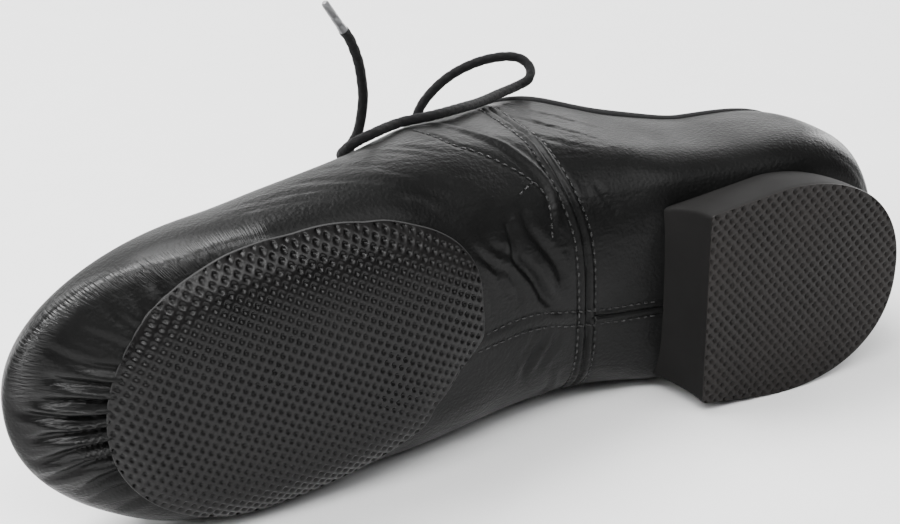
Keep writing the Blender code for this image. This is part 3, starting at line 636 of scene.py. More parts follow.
leather_finish, tree, shader = new_finish(
    "black_leather", Specular_IOR_Level=0.085, Coat_Roughness=0.22, Coat_IOR=1.4)
place = node(tree, "ShaderNodeTexCoord").outputs["Object"]
grain = node(tree, "ShaderNodeGroup", {"Place": place, "Cells per metre": 1150.0}, node_tree=grain_group)
blotch = grain.outputs["Blotch"]
stretch = node(tree, "ShaderNodeAttribute", attribute_name="gather")
parts = node(tree, "ShaderNodeSeparateXYZ", {0: stretch.outputs["Vector"]}).outputs
drawn_tight = calc(tree, "MULTIPLY_ADD", parts["Z"], 0.9, spread(tree, blotch, 0.12, 0.03), clamp=True)
strokes = node(tree, "ShaderNodeCombineXYZ", {"X": parts["X"], "Y": parts["Y"]})
squeezed = node(tree, "ShaderNodeMapping", {"Vector": strokes.outputs[0], "Scale": (1.9, 0.26, 1.0)})
toe_folds = calc(tree, "MULTIPLY", noise(tree, squeezed.outputs[0], 1.0, 3.0), parts["Z"])
slack_mask = node(tree, "ShaderNodeAttribute", attribute_name="limp")
drawn = node(tree, "ShaderNodeMapping", {"Vector": place, "Scale": (110.0, 330.0, 330.0)})
wrinkles = noise(tree, drawn.outputs[0], 1.0, 2.0, Distortion=0.4)
side_folds = calc(tree, "MULTIPLY", wrinkles, slack_mask.outputs["Fac"])
fold_bump = bump(tree, calc(tree, "MULTIPLY_ADD", toe_folds, 2.4, side_folds), 0.5, 0.0006)
wire(tree, shader, Base_Color=two_tones(tree, blotch, (0.003, 0.003, 0.003), (0.006, 0.0061, 0.006)),
     Roughness=spread(tree, blotch, 0.38, 0.5), Coat_Weight=drawn_tight, Coat_Normal=fold_bump,
     Normal=bump(tree, grain.outputs["Height"], 0.45, 0.0003, Normal=fold_bump))

# The weave group is the crossed threads of cloth: two sets of rounded bars, one over the other
weave_group, weave_in, weave_out = new_group(
    "thread_weave", (("Place", "NodeSocketVector"), ("Threads", "NodeSocketFloat")),
    (("Height", "NodeSocketFloat"), ("Lint", "NodeSocketFloat")))
scaled = node(weave_group, "ShaderNodeVectorMath", {0: weave_in[0], "Scale": weave_in[1]}, operation="SCALE")
axes = node(weave_group, "ShaderNodeSeparateXYZ", {0: scaled.outputs[0]}).outputs
ribs = []
for slant in ("ADD", "SUBTRACT"):
    wave = calc(weave_group, "SINE", calc(weave_group, slant, axes["X"], axes["Y"]))
    ribs.append(calc(weave_group, "ABSOLUTE", wave))
wire(weave_group, weave_out, Height=calc(weave_group, "MULTIPLY", *ribs),
     Lint=noise(weave_group, scaled.outputs[0], 0.7, 4.0))


def cloth_finish(name, low, high, threads, roughness, sheen, source="Object", gloss=0.25):
    """A woven cloth in two near tones, with its threads raised."""
    finish, tree, shader = new_finish(name, Roughness=roughness, Sheen_Weight=sheen, Sheen_Roughness=0.5,
                                      Specular_IOR_Level=gloss)
    place = node(tree, "ShaderNodeTexCoord").outputs[source]
    weave = node(tree, "ShaderNodeGroup", {"Place": place, "Threads": threads}, node_tree=weave_group).outputs
    wire(tree, shader, Base_Color=two_tones(tree, weave["Lint"], low, high),
         Normal=bump(tree, weave["Height"], 0.6, 0.0002))
    return finish


lining_finish = cloth_finish("upper_lining", (0.022, 0.022, 0.024), (0.045, 0.045, 0.048), 4200.0, 0.9, 0.3)
upper.data.materials.append(leather_finish)
upper.data.materials.append(lining_finish)
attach(upper, "root")
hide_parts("upper")

# Stitching
# Waxed black thread in a lockstitch. It holds the waist seam, the arch's middle seam, the quarters'
# front edges and the eyestays.
STITCH_PITCH = 2.4
STITCH_SIZE = (0.95, 0.36, 0.34)
WAIST_SHARES = (0.03, 0.09, 0.18, 0.28, 0.4, 0.55, 0.7, 0.85, 1.0)
WAIST_REACH = 0.96
EYESTAY_ROWS = ((2.0, np.linspace(147, 93, 12)), (9.0, np.linspace(143, 98, 10)))
TACK_ROUTE = ((103.2, 37.2, 21.6), (106, 36.9, 19.9), (109, 36.3, 18.1), (112, 35.5, 16.6))

bpy.ops.object.select_all(action="DESELECT")
bpy.ops.mesh.primitive_uv_sphere_add(segments=8, ring_count=5, radius=1)
stitch = bpy.context.object
stitch.scale = np.array(STITCH_SIZE) * MM
bpy.ops.object.transform_apply(location=False, rotation=False, scale=True)
bpy.ops.object.shade_smooth()


def sew(route, reach=4.0):
    """Lays stitches along a line on the leather and returns them."""
    made = []
    places = in_frame(smooth_route(route, STITCH_PITCH))
    for before, place, after in zip(places, places[1:], places[2:]):
        found, spot, normal, face = upper.closest_point_on_mesh(Vector(place), distance=reach * MM)
        if not found:
            continue
        ahead = Vector(after - before)
        ahead -= ahead.dot(normal) * normal
        if ahead.length < 1e-6:
            continue
        ahead.normalize()
        across = normal.cross(ahead)
        copy = stitch.copy()
        copy.data = stitch.data.copy()
        bpy.context.collection.objects.link(copy)
        turn = Matrix((ahead, across, normal)).transposed().to_4x4()
        copy.matrix_world = Matrix.Translation(spot + normal * 0.05 * MM) @ turn
        made.append(copy)
    return made


def waist_row(offset):
    """A line round the waist at a set distance from its seam."""
    line = []
    for side, shares in ((-1, WAIST_SHARES[::-1]), (1, WAIST_SHARES)):
        for share in shares:
            x = 93.0
            for attempt in range(4):
                spot = on_side(x, side, np.array([share * leather_reach(x, side) * WAIST_REACH]))[0]
                x = float(waist_seam_x(spot[1], spot[2])) + offset
            line.append(spot)
    return line


def join_pieces(pieces, name):
    """Joins pieces into one that has its place in its mesh."""
    bpy.ops.object.select_all(action="DESELECT")
    for piece in pieces:
        piece.select_set(True)
    bpy.context.view_layer.objects.active = pieces[0]
    bpy.ops.object.join()
    joined = bpy.context.object
    joined.name = name
    bpy.ops.object.transform_apply(location=True, rotation=True, scale=True)
    return joined


def arch_row(offset):
    """A line along the arch at a set distance from its middle seam."""
    line = []
    for x in np.linspace(69, 130, 9):
        row = last_section(x)
        y = centre_seam_y(x) + offset
        half = row["outer_half"] if y > row["middle"] else row["inner_half"]
        power = row["lower_power"]
        drop = (1 - (abs(y - row["middle"]) / half) ** power) ** (1 / power)
        line.append((x, y, row["widest"] - (row["widest"] - row["bottom"]) * drop))
    return line


threads = []
for offset in WAIST_ROWS:
    threads += sew(waist_row(offset))
for offset in ARCH_ROWS:
    threads += sew(arch_row(offset))
for side, pull, front_edge in ((1, 1, QUARTER_EDGE), (-1, -INNER_PULL, QUARTER_EDGE[4:])):
    threads += sew(np.array(front_edge + QUARTER_EDGE_TOP[1:]) * (1, pull, 1))
    for setback, xs in EYESTAY_ROWS:
        threads += sew([from_ridge(x, side, read_table(THROAT, x) + setback)[0] for x in xs])
threads += sew(TACK_ROUTE)
stitching = join_pieces(threads, "seam_stitching")
bpy.data.objects.remove(stitch)
stitching.data.materials.clear()
stitching.data.materials.append(cloth_finish(
    "waxed_thread", (0.004, 0.004, 0.004), (0.008, 0.008, 0.008), 9000.0, 0.22, 0.0, gloss=0.45))
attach(stitching, "root")

# Forefoot sole
# A thin oval pad of moulded rubber, die-cut from a sheet with a pitted face and glued under the ball.
# Its cut edge shows as a paler line round it.
SEAT_GAP = 0.3
PATCH_THICKNESS = 2.6
PATCH_SKIVE = 2.0
PATCH_SKIVE_FROM = 0.78
PIT_PITCH = 2.26
PIT_STEPS = 8
PIT_DEPTH = 0.62
PIT_HALF = 0.98
PATCH_PIT_TURN = math.radians(32.0)
RING_STEP = 10.0


def under_height(x, y):
    """Height of the upper's underside at a place on the sole."""
    seat_x = x
    for attempt in range(4):
        row = last_section(np.maximum(seat_x, HEEL_BACK_X + 0.01))
        half = np.where(y > row["middle"], row["outer_half"], row["inner_half"])
        share = np.minimum(np.abs(y - row["middle"]) / np.maximum(half, 0.01), 0.985)
        power = row["lower_power"]
        z = row["widest"] - (row["widest"] - row["bottom"]) * (1 - share ** power) ** (1 / power)
        seat_x = x - heel_curve(seat_x, z)
    return z


def under_offset(x, y, distance):
    """Height of the underside moved by a distance square to it, up into the shoe when positive."""
    step = 0.5
    slope_x = (under_height(x + step, y) - under_height(x - step, y)) / (2 * step)
    slope_y = (under_height(x, y + step) - under_height(x, y - step)) / (2 * step)
    return under_height(x, y) + distance * np.sqrt(1 + slope_x ** 2 + slope_y ** 2)


def pitted_sheet(name, centre, turn, reach, edge_share, ring_count):
    """A flat rubber sheet cut to an outline, with rows of pits, and rings of points drawn up from its edge.

    Its points hold the plan place; the third number is the pit's depth, or ten times the ring's number."""
    step = PIT_PITCH / PIT_STEPS
    count = 2 * int(math.ceil(reach / step)) + 1
    piece, column, row = grid_piece(name, count, count)
    u = (column - count // 2) * step
    v = (row - count // 2) * step
    x = centre[0] + u * math.cos(turn) - v * math.sin(turn)
    y = centre[1] + u * math.sin(turn) + v * math.cos(turn)
    off_u = u - np.rint(u / PIT_PITCH) * PIT_PITCH
    off_v = v - np.rint(v / PIT_PITCH) * PIT_PITCH
    wide = (np.abs(off_u) ** 3 + np.abs(off_v) ** 3) ** (1 / 3)
    pit = PIT_DEPTH * (0.5 + 0.5 * np.cos(math.pi * np.clip(wide / PIT_HALF, 0, 1)))
    share = edge_share(x, y)
    outside = share > 1
    pull = np.where(outside, 1 / np.maximum(share, 1), 1)
    x = centre[0] + (x - centre[0]) * pull
    y = centre[1] + (y - centre[1]) * pull
    pit = np.where(share > 0.994, 0, pit)
    set_points(piece, np.stack((x, y, pit), axis=-1))
    drop_faces(piece, outside[corner_points(piece)].reshape(-1, 4).all(axis=1))
    bpy.ops.object.mode_set(mode="EDIT")
    bpy.ops.mesh.select_all(action="SELECT")
    bpy.ops.mesh.remove_doubles(threshold=0.03)
    bpy.ops.mesh.select_all(action="SELECT")
    bpy.ops.mesh.region_to_loop()
    for ring in range(ring_count):
        bpy.ops.mesh.extrude_edges_move(TRANSFORM_OT_translate={"value": (0, 0, RING_STEP)})
    bpy.ops.object.mode_set(mode="OBJECT")
    x, y, third = get_points(piece).T
    ring = np.rint(third / RING_STEP).astype(int)
    return piece, x, y, np.where(ring == 0, third, 0), ring


def lay_sheet(piece, places, pit, cut):
    """Moves a pitted sheet's points to their places, and marks its pits and its cut edge."""
    set_points(piece, in_frame(np.stack(places, axis=-1)))
    mark(piece, "pit", pit / PIT_DEPTH)
    mark(piece, "cut_edge", cut.astype(float))
    close_seams(piece, 42, merge=0.01)


def patch_edge_share(x, y):
    """How far out a place lies, as a share of the way to the forefoot sole's oval edge."""
    angle, radius, edge = patch_place(x, y)
    return radius / edge


def patch_depth(x, y, share):
    """How far below the upper the rubber's face lies: full in the middle, pared down towards the edge."""
    angle, radius, edge = patch_place(x, y)
    pared = np.clip(0.75 + radius * np.sin(angle) / 70, 0.4, 1) * PATCH_SKIVE
    return SEAT_GAP + PATCH_THICKNESS - pared * ramp(share, PATCH_SKIVE_FROM, 1) ** 2


PATCH_RINGS = ((0.0, 1.0), (0.08, 1.002), (0.25, 1.004), (0.7, 1.002), (1.3, 0.99), (1.3, 0.75), (1.3, 0.4),
               (1.3, 0.0))
patch, x, y, pit, ring = pitted_sheet("forefoot_rubber", PATCH_CENTRE, PATCH_PIT_TURN, 50.0,
                                      patch_edge_share, len(PATCH_RINGS) - 1)
climb, scale = np.array(PATCH_RINGS)[ring].T
plan_x = PATCH_CENTRE[0] + (x - PATCH_CENTRE[0]) * scale
plan_y = PATCH_CENTRE[1] + (y - PATCH_CENTRE[1]) * scale
share = np.where(ring == 0, patch_edge_share(x, y), 1)
height = under_offset(plan_x, plan_y, climb + pit - patch_depth(x, y, share))
lay_sheet(patch, (plan_x, plan_y, height), pit, ring > 0)

# The rubber group is a moulded face: fine speckle under a dusty film
rubber_group, rubber_in, rubber_out = new_group(
    "rubber_face", (("Place", "NodeSocketVector"),),
    (("Speckle", "NodeSocketFloat"), ("Film", "NodeSocketFloat")))
wire(rubber_group, rubber_out, Speckle=noise(rubber_group, rubber_in[0], 2200.0, 4.0),
     Film=noise(rubber_group, rubber_in[0], 60.0, 5.0))


def rubber_finish(name, low, high, edge, roughness):
    """Moulded rubber, its colour darkened in its pits as painted shade, with a paler cut or buffed edge."""
    finish, tree, shader = new_finish(name, Specular_IOR_Level=0.17)
    place = node(tree, "ShaderNodeTexCoord").outputs["Object"]
    face = node(tree, "ShaderNodeGroup", {"Place": place}, node_tree=rubber_group).outputs
    pit, cut = (node(tree, "ShaderNodeAttribute", attribute_name=name).outputs["Fac"]
                for name in ("pit", "cut_edge"))
    # The film's tones are multiplied down to 0.4 at each pit's middle: painted shade in the pits.
    tone_with_painted_pit_shade = node(tree, "ShaderNodeMix", {0: 1.0, 6: two_tones(tree, face["Film"], low, high, 0.3, 0.7),
                                          7: spread(tree, pit, 1.0, 0.4, 0.0, 1.0)},
                  data_type="RGBA", blend_type="MULTIPLY")
    whole = node(tree, "ShaderNodeMix", {0: cut, 6: tone_with_painted_pit_shade.outputs[2], 7: (*edge, 1)}, data_type="RGBA")
    dull = spread(tree, face["Film"], roughness - 0.05, roughness + 0.08)
    wire(tree, shader, Base_Color=whole.outputs[2], Roughness=calc(tree, "MULTIPLY_ADD", cut, 0.35, dull),
         Normal=bump(tree, face["Speckle"], 0.4, 0.0001))
    return finish


patch.data.materials.append(rubber_finish(
    "forefoot_rubber", (0.0034, 0.0032, 0.0033), (0.0062, 0.0058, 0.0057), (0.03, 0.03, 0.03), 0.3))
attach(patch, "root")
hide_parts("forefoot_sole")

# Heel
# One low block of moulded rubber with the same pitted face below, buffed round its sides, hollowed on
# top to the upper's seat, and cemented on. Its front leans forward.
HEEL_LENGTH = 62.6
HEEL_WIDEST_X = 38.0
HEEL_HALF_WIDTH = 31.5
HEEL_BREAST_HALF = 28.3
HEEL_OFFSET_Y = -1.5
HEEL_TAPER = 2.0
HEEL_BACK_TAPER = 0.6
HEEL_BREAST_LEAN = 6.0
HEEL_POWER = 2.25
HEEL_SEAT = 0.12
HEEL_CENTRE = (HEEL_WIDEST_X, HEEL_OFFSET_Y)
HEEL_PIT_TURN = math.radians(50.5)


def heel_outline(margin, lean):
    """The heel's outline as points from its centre: round behind and flat across the front."""
    half = HEEL_HALF_WIDTH - margin
    round_back = np.linspace(math.pi / 2, 1.5 * math.pi, 241)
    reach = HEEL_WIDEST_X - margin * HEEL_BACK_TAPER
    edge_x = reach * np.sign(np.cos(round_back)) * np.abs(np.cos(round_back)) ** (2 / HEEL_POWER)
    edge_y = half * np.sign(np.sin(round_back)) * np.abs(np.sin(round_back)) ** (2 / HEEL_POWER)
    breast_x = HEEL_LENGTH + lean - HEEL_WIDEST_X
    breast_y = HEEL_BREAST_HALF - margin
    side = np.linspace(0, 1, 40)[1:]
    front = np.linspace(-breast_y, breast_y, 120)[1:]
    hollow = 0.5 * lean / HEEL_BREAST_LEAN * (1 - (front / breast_y) ** 2)
    edge_x = np.concatenate((edge_x, breast_x * side, breast_x - hollow, breast_x * (1 - side)))
    spare = (half - breast_y) * side
    edge_y = np.concatenate((edge_y, -half + spare, front, breast_y + spare))
    edge = np.stack((edge_x, edge_y), axis=-1)[:-1]
    blur = np.hanning(9)[1:-1] / np.hanning(9).sum()
    reach = len(blur) // 2
    edge = sum(share * np.roll(edge, i - reach, axis=0) for i, share in enumerate(blur))
    return np.vstack((edge, edge[:1]))


def heel_edge(angle, margin, lean):
    """The outline's points that stand above the places at set angles on the heel's bottom edge."""
    foot = heel_outline(0.0, 0.0)
    turn = np.unwrap(np.arctan2(foot[:, 1], foot[:, 0]))
    number = np.interp((angle - turn[0]) % (2 * math.pi) + turn[0], turn, np.arange(len(foot)))
    edge = heel_outline(margin, lean)
    return np.stack([np.interp(number, np.arange(len(edge)), edge[:, axis]) for axis in (0, 1)], axis=-1)


def heel_edge_share(x, y):
    """How far out a place lies, as a share of the way to the heel's bottom edge."""
    edge = heel_edge(np.arctan2(y - HEEL_CENTRE[1], x - HEEL_CENTRE[0]), 0.0, 0.0)
    return np.hypot(x - HEEL_CENTRE[0], y - HEEL_CENTRE[1]) / np.hypot(edge[..., 0], edge[..., 1])


HEEL_WALL = (0.0, 0.0, 0.03, 0.14, 0.28, 0.43, 0.58, 0.72, 0.86, 0.97, 1.0)
HEEL_INSIDE = (0.98, 0.8, 0.5, 0.0)
heel, x, y, pit, ring = pitted_sheet("heel_rubber", HEEL_CENTRE, HEEL_PIT_TURN, 46.0,
                                     heel_edge_share, len(HEEL_WALL) + len(HEEL_INSIDE) - 1)
angle = np.arctan2(y - HEEL_CENTRE[1], x - HEEL_CENTRE[0])
foot = heel_edge(angle, 0.0, 0.0)
head = heel_edge(angle, HEEL_TAPER, HEEL_BREAST_LEAN)
climb = np.array(HEEL_WALL + (1.0,) * len(HEEL_INSIDE))[ring]
inward = np.array((1.0,) * len(HEEL_WALL) + HEEL_INSIDE)[ring]
swell = 1 + np.array((0.0, 0.0, 0.004) + (0.0,) * (len(HEEL_WALL) - 3 + len(HEEL_INSIDE)))[ring]
wall = (foot + (head - foot) * (climb ** 2)[:, None]) * (inward * swell)[:, None]
plan_x = np.where(ring == 0, x, HEEL_CENTRE[0] + wall[:, 0])
plan_y = np.where(ring == 0, y, HEEL_CENTRE[1] + wall[:, 1])
seat = under_offset(plan_x, plan_y, -HEEL_SEAT)
height = np.where(ring == 0, pit, seat * climb)
lay_sheet(heel, (plan_x, plan_y, height), pit, ring > 1)
heel.data.materials.append(rubber_finish(
    "heel_rubber", (0.0062, 0.0051, 0.0046), (0.0104, 0.0087, 0.008), (0.0055, 0.0052, 0.005), 0.45))
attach(heel, "root")
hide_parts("heel")

# Insole
# A thin board covered in dark cloth, lying inside the upper from the heel's back to the toe.
INSOLE_BACK_X = 8.0
INSOLE_FRONT_X = 232.0
INSOLE_THICKNESS = 1.8
INSOLE_LIFT = 0.9
INSOLE_REACH = 0.63
INSOLE_ROWS = 90
INSOLE_COLUMNS = 25


def thicken(piece, thickness, offset):
    """Gives a sheet its thickness."""
    board = piece.modifiers.new("thickness", "SOLIDIFY")
    board.thickness = thickness * MM
    board.offset = offset
    bpy.context.view_layer.objects.active = piece
    bpy.ops.object.modifier_apply(modifier=board.name)
    close_seams(piece, 40)


insole, column, row = grid_piece("insole_sheet", INSOLE_COLUMNS, INSOLE_ROWS)
share = row / (INSOLE_ROWS - 1)
x = INSOLE_BACK_X + (INSOLE_FRONT_X - INSOLE_BACK_X) * share
sizes = last_section(x)
across = 2 * column / (INSOLE_COLUMNS - 1) - 1
rounding = (1 - np.abs(2 * share - 1) ** 14) ** 0.5
half = np.where(across > 0, sizes["outer_half"], sizes["inner_half"])
y = sizes["middle"] + half * INSOLE_REACH * across * np.maximum(rounding, 0.55)
crown = 0.25 * ramp(np.abs(across), 0.8, 1) ** 2
set_points(insole, in_frame(np.stack((x, y, under_offset(x, y, WALL + INSOLE_LIFT) + crown), axis=-1)))
thicken(insole, INSOLE_THICKNESS, 0.0)
insole.data.materials.append(cloth_finish(
    "insole_cloth", (0.035, 0.035, 0.038), (0.07, 0.07, 0.074), 3600.0, 0.92, 0.35))
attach(insole, "root")
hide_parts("insole")

# Tongue
# A soft tab of the same leather under the eyestays, sewn in below the throat and free at its top, with
# its edge turned and a light crease where the foot bends it.
TONGUE_THICKNESS = 1.8
TONGUE_HALF_WIDTH = 21.0
TONGUE_FRONT_X = 151.0
TONGUE_BACK_X = 79.0
TONGUE_LEAN = 3.4
TONGUE_ROWS = 61
TONGUE_COLUMNS = 41

tongue, column, row = grid_piece("tongue_leather", TONGUE_COLUMNS, TONGUE_ROWS)
sheet = np.zeros((TONGUE_ROWS, TONGUE_COLUMNS, 3))
for i in range(TONGUE_ROWS):
    inward = i / (TONGUE_ROWS - 1)
    x = TONGUE_FRONT_X + (TONGUE_BACK_X - TONGUE_FRONT_X) * inward
    for j in range(TONGUE_COLUMNS):
        across = 2 * j / (TONGUE_COLUMNS - 1) - 1
        back = x + 3.5 * ramp(inward, 0.75, 1) ** 2 * abs(across) ** 3
        point, normal = from_ridge(back, 1 if across >= 0 else -1, TONGUE_HALF_WIDTH * abs(across))
        ripple = 0.22 * math.sin(inward * 17) * math.cos(across * 2.2) * inward
        sheet[i, j] = point - normal * (WALL + 2 * SEAT_GAP + TONGUE_LEAN * inward ** 2 + 0.3 + ripple)
set_points(tongue, in_frame(sheet[row, column]))
thicken(tongue, TONGUE_THICKNESS - 0.3, -1.0)
tongue.data.materials.append(leather_finish)
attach(tongue, "root")
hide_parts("tongue")

# Collar binding
# A folded tape sewn over the topline's edge, from one eyestay round the heel to the other.
BINDING_FRONT_X = 88.0
BINDING_HALF = 1.75
BINDING_ABOVE = 1.5
BINDING_BELOW = 3.0
BINDING_AROUND = 21

binding_x = np.concatenate((np.linspace(BINDING_FRONT_X, HEEL_ROUND_X, 50),
                            HEEL_ROUND_X - (HEEL_ROUND_X - HEEL_BACK_X - 0.03)
                            * np.sin(np.linspace(0, math.pi / 2, 41))[1:]))
line = []
for side, xs in ((1, binding_x), (-1, binding_x[::-1][1:])):
    for x in xs:
        reach = leather_reach(x, side)
        low, top = on_side(x, side, np.array([reach - 2.0, reach]))
        line.append((top, unit(top - low)))
top, up = np.array(line).transpose(1, 0, 2)
outward = unit(np.cross(unit(np.gradient(top, axis=0)), up))
if outward[0, 1] < 0:
    outward = -outward
binding, column, row = grid_piece("collar_tape", BINDING_AROUND, len(line))
turn = 2 * math.pi * column / (BINDING_AROUND - 1)
tall = np.where(np.sin(turn) > 0, BINDING_ABOVE, BINDING_BELOW)
thick = BINDING_HALF * np.sign(np.cos(turn)) * np.abs(np.cos(turn)) ** 0.7
tall = tall * (1.7 - 0.9 * ramp(np.abs(top[row, 0]), BINDING_FRONT_X, 28))
places = (top[row] - outward[row] * WALL / 2 + outward[row] * thick[:, None]
          + up[row] * (tall * np.sin(turn))[:, None])
set_points(binding, in_frame(places))
close_seams(binding, 50, fill=True)
binding.data.materials.append(cloth_finish(
    "edge_tape", (0.004, 0.004, 0.0042), (0.009, 0.009, 0.0095), 5200.0, 0.85, 0.02, gloss=0.08))
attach(binding, "root")
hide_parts("collar_binding")

# Eyelets
# Small black enamelled rings pressed through the eyestays, five on each side.
RIM_RADIUS = 2.15
RIM_HALF = 0.5

rims = []
for x in EYELET_X:
    for side in (1, -1):
        point, normal = from_ridge(x, side, read_table(THROAT, x) + EYELET_SETBACK)
        spot = Vector(in_frame(point + normal * 0.1))
        axis = Vector(in_frame(point + normal) - in_frame(point)).normalized()
        bpy.ops.mesh.primitive_torus_add(major_segments=24, minor_segments=8, major_radius=RIM_RADIUS * MM,
                                         minor_radius=RIM_HALF * MM, location=spot,
                                         rotation=axis.to_track_quat("Z", "Y").to_euler())
        rims.append(bpy.context.object)
eyelets = join_pieces(rims, "eyelet_rings")
bpy.ops.object.shade_smooth()


def speckled_finish(name, scale, low, high, dull=None, **plain):
    """A plain finish whose tone, and roughness where it is given, change a little from place to place."""
    finish, tree, shader = new_finish(name, **plain)
    mask = noise(tree, node(tree, "ShaderNodeTexCoord").outputs["Object"], scale, 3.0)
    wire(tree, shader, Base_Color=two_tones(tree, mask, low, high, 0.0, 1.0))
    if dull:
        wire(tree, shader, Roughness=spread(tree, mask, *dull, 0.0, 1.0))
    return finish


eyelets.data.materials.append(speckled_finish(
    "black_enamel", 700.0, (0.01, 0.01, 0.01), (0.03, 0.03, 0.032), (0.22, 0.45), Specular_IOR_Level=0.6))
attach(eyelets, "root")

# Lace over the throat
# A round braided cord: a bar through the two lowest eyelets, then crossings up to the top pair. Each
# run dives through its eyelet at both ends.
LACE_RADIUS = 1.4
LACE_LIFT = 1.75
LACE_DIVE = ((0.0, -2.6), (0.015, -0.6), (0.07, 1.35), (0.18, LACE_LIFT), (0.34, LACE_LIFT))
BRAID_STRANDS = 8
BRAID_PITCH = 3.4
BRAID_RELIEF = 0.07


def cord_tube(name, points, radius, around=20, spacing=0.4):
    """A round braided cord along points in the shoe's own axes, closed at its ends."""
    path = smooth_route(points, spacing)
    ahead = unit(np.gradient(path, axis=0))
    up = np.array([0.0, 0.0, 1.0]) if abs(ahead[0, 2]) < 0.9 else np.array([1.0, 0.0, 0.0])
    frames = []
    for direction in ahead:
        up = unit(up - direction * (up @ direction))
        frames.append((up, np.cross(direction, up)))
    frames = np.array(frames)
    run = run_along(path)
    piece, column, row = grid_piece(name, around + 1, len(path))
    turn = 2 * math.pi * column / around
    twist = 2 * math.pi * run[row] / BRAID_PITCH
    braid = np.maximum(np.cos(BRAID_STRANDS / 2 * turn + twist), np.cos(BRAID_STRANDS / 2 * turn - twist))
    wide = radius * (1 + BRAID_RELIEF * (braid - 0.6))
    ends = np.minimum(run[row], run[-1] - run[row])
    wide = wide * np.sqrt(np.clip(ends / 0.5 + 0.35, 0, 1))
    places = (path[row] + frames[row, 0] * (wide * np.cos(turn))[:, None]
              + frames[row, 1] * (wide * np.sin(turn))[:, None])
    set_points(piece, in_frame(places))
    corners = corner_points(piece)
    flat = np.stack((turn[corners] * radius * MM, run[row][corners] * MM), axis=-1)
    piece.data.uv_layers.active.data.foreach_set("uv", flat.ravel())
    close_seams(piece, 60, merge=0.002, fill=True)
    return piece, path


def throat_run(start_x, start_side, end_x, end_side, hump):
    """One run of the lace, from under an eyelet over the throat and down through one across it."""
    line = []
    climb_out = tuple((1 - share, rise) for share, rise in LACE_DIVE[::-1])
    for share, rise in LACE_DIVE + ((0.5, LACE_LIFT + hump),) + climb_out:
        x = start_x + (end_x - start_x) * share
        near = start_side if share < 0.5 else end_side
        point, normal = from_ridge(x, near, (read_table(THROAT, x) + EYELET_SETBACK) * abs(1 - 2 * share))
        line.append(point + normal * rise)
    return line


runs = [cord_tube("lace_bar", throat_run(EYELET_X[0], 1, EYELET_X[0], -1, 0.0), LACE_RADIUS)[0]]
for low, high in zip(EYELET_X, EYELET_X[1:]):
    runs.append(cord_tube("lace_under", throat_run(low, -1, high, 1, -0.5), LACE_RADIUS)[0])
    runs.append(cord_tube("lace_over", throat_run(low, 1, high, -1, 2.3), LACE_RADIUS)[0])
lacing = join_pieces(runs, "lace_over_throat")
lace_finish = cloth_finish("lace_cord", (0.004, 0.004, 0.0043), (0.01, 0.01, 0.0105), 5200.0, 0.82, 0.06,
                           "UV", 0.12)
lacing.data.materials.append(lace_finish)
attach(lacing, "root")
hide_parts("lace_crossings")

# Bow
# The same cord tied over the top crossing: a small knot, an outer loop and end that fall over the
# shoe's outer side, and an inner pair behind. Each end has a crimped plastic tip.
LOOP_ROUTE = (
    (106.8, 10.0, 92.2), (115, 18.5, 85), (126, 28, 74), (134, 33.4, 66), (140.5, 37.2, 59.5),
    (145, 40.6, 53.5), (143.8, 45, 48.6), (138.5, 47.5, 47.2), (129, 47.4, 51.5), (119, 47.8, 51.5),
    (109, 46.6, 56), (99, 44, 64), (89, 42.2, 72), (80.8, 41.4, 77.2), (76, 42.4, 78.8),
    (74.1, 44.6, 81.8), (75.7, 46.7, 85), (80.2, 47.4, 87), (87.4, 46.5, 88.7), (94.9, 43.8, 89.9),
    (101.3, 39.8, 90.2), (106, 34.2, 90.7), (107.3, 26, 92.6), (106, 17, 94.7), (104.3, 10.9, 94.5),
)
END_ROUTE = (
    (108.6, 5.5, 93.4), (114, 7.8, 94.4), (122, 15, 92), (129, 22.5, 85.5), (134, 29, 77), (136.3, 35, 70),
    (135, 41.5, 66), (133.7, 50, 65), (134.2, 56.5, 64), (135.4, 62.6, 63), (137.7, 68.8, 62),
    (140, 72.4, 61),
)
INNER_LOOP_ROUTE = (
    (106.4, -0.4, 92.2), (113.5, -8, 88.5), (122, -17, 81.5), (130, -24.5, 72.5), (134.5, -29, 64),
    (133.2, -31.5, 57.8), (127.5, -32.6, 55.3), (121, -32.4, 59.5), (115, -29.6, 68), (109.5, -22.5, 80),
    (105.5, -14.5, 89.5), (103.6, -8, 93.4), (102.2, -1.3, 94.8),
)
INNER_END_ROUTE = (
    (105, 3.5, 96.6), (109.5, 1.2, 99.6), (119, -4.5, 95), (130, -8.5, 83), (140, -12.5, 73), (151, -17, 65),
)
KNOT_WRAP = (
    (107.3, 2.2, 91.4), (107.8, 3.4, 94.6), (105.2, 4.2, 96.3), (101.2, 4.8, 96.2), (98.8, 5.4, 93.8),
    (99.6, 6.0, 90.8), (102.8, 6.4, 89.6), (106.2, 6.8, 90.4), (107.6, 7.2, 93.4), (104.8, 7.6, 95.8),
    (101.0, 7.8, 95.4),
)
KNOT_CORES = (
    ((106.8, 10.4, 92.2), (105.0, 6.0, 92.0), (105.0, 2.0, 92.0), (106.4, -0.8, 92.2)),
    ((104.3, 11.2, 94.5), (102.4, 6.0, 93.6), (101.8, 2.0, 93.8), (102.2, -1.6, 94.8)),
)
TIP_PROFILE = (
    (-0.8, 1.0), (-0.8, 1.26), (-0.2, 1.3), (1.6, 1.16), (2.0, 1.02), (2.4, 1.14), (5.0, 1.12),
    (5.4, 0.98), (5.8, 1.1), (9.6, 1.08), (10.4, 0.96), (10.8, 0.6),
)

knot_parts = [cord_tube("knot_wrap", KNOT_WRAP, LACE_RADIUS)[0]]
knot_parts += [cord_tube("knot_core", core, LACE_RADIUS)[0] for core in KNOT_CORES]
knot = join_pieces(knot_parts, "bow_knot")
knot.data.materials.append(lace_finish)
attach(knot, "root")
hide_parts("lace_knot")

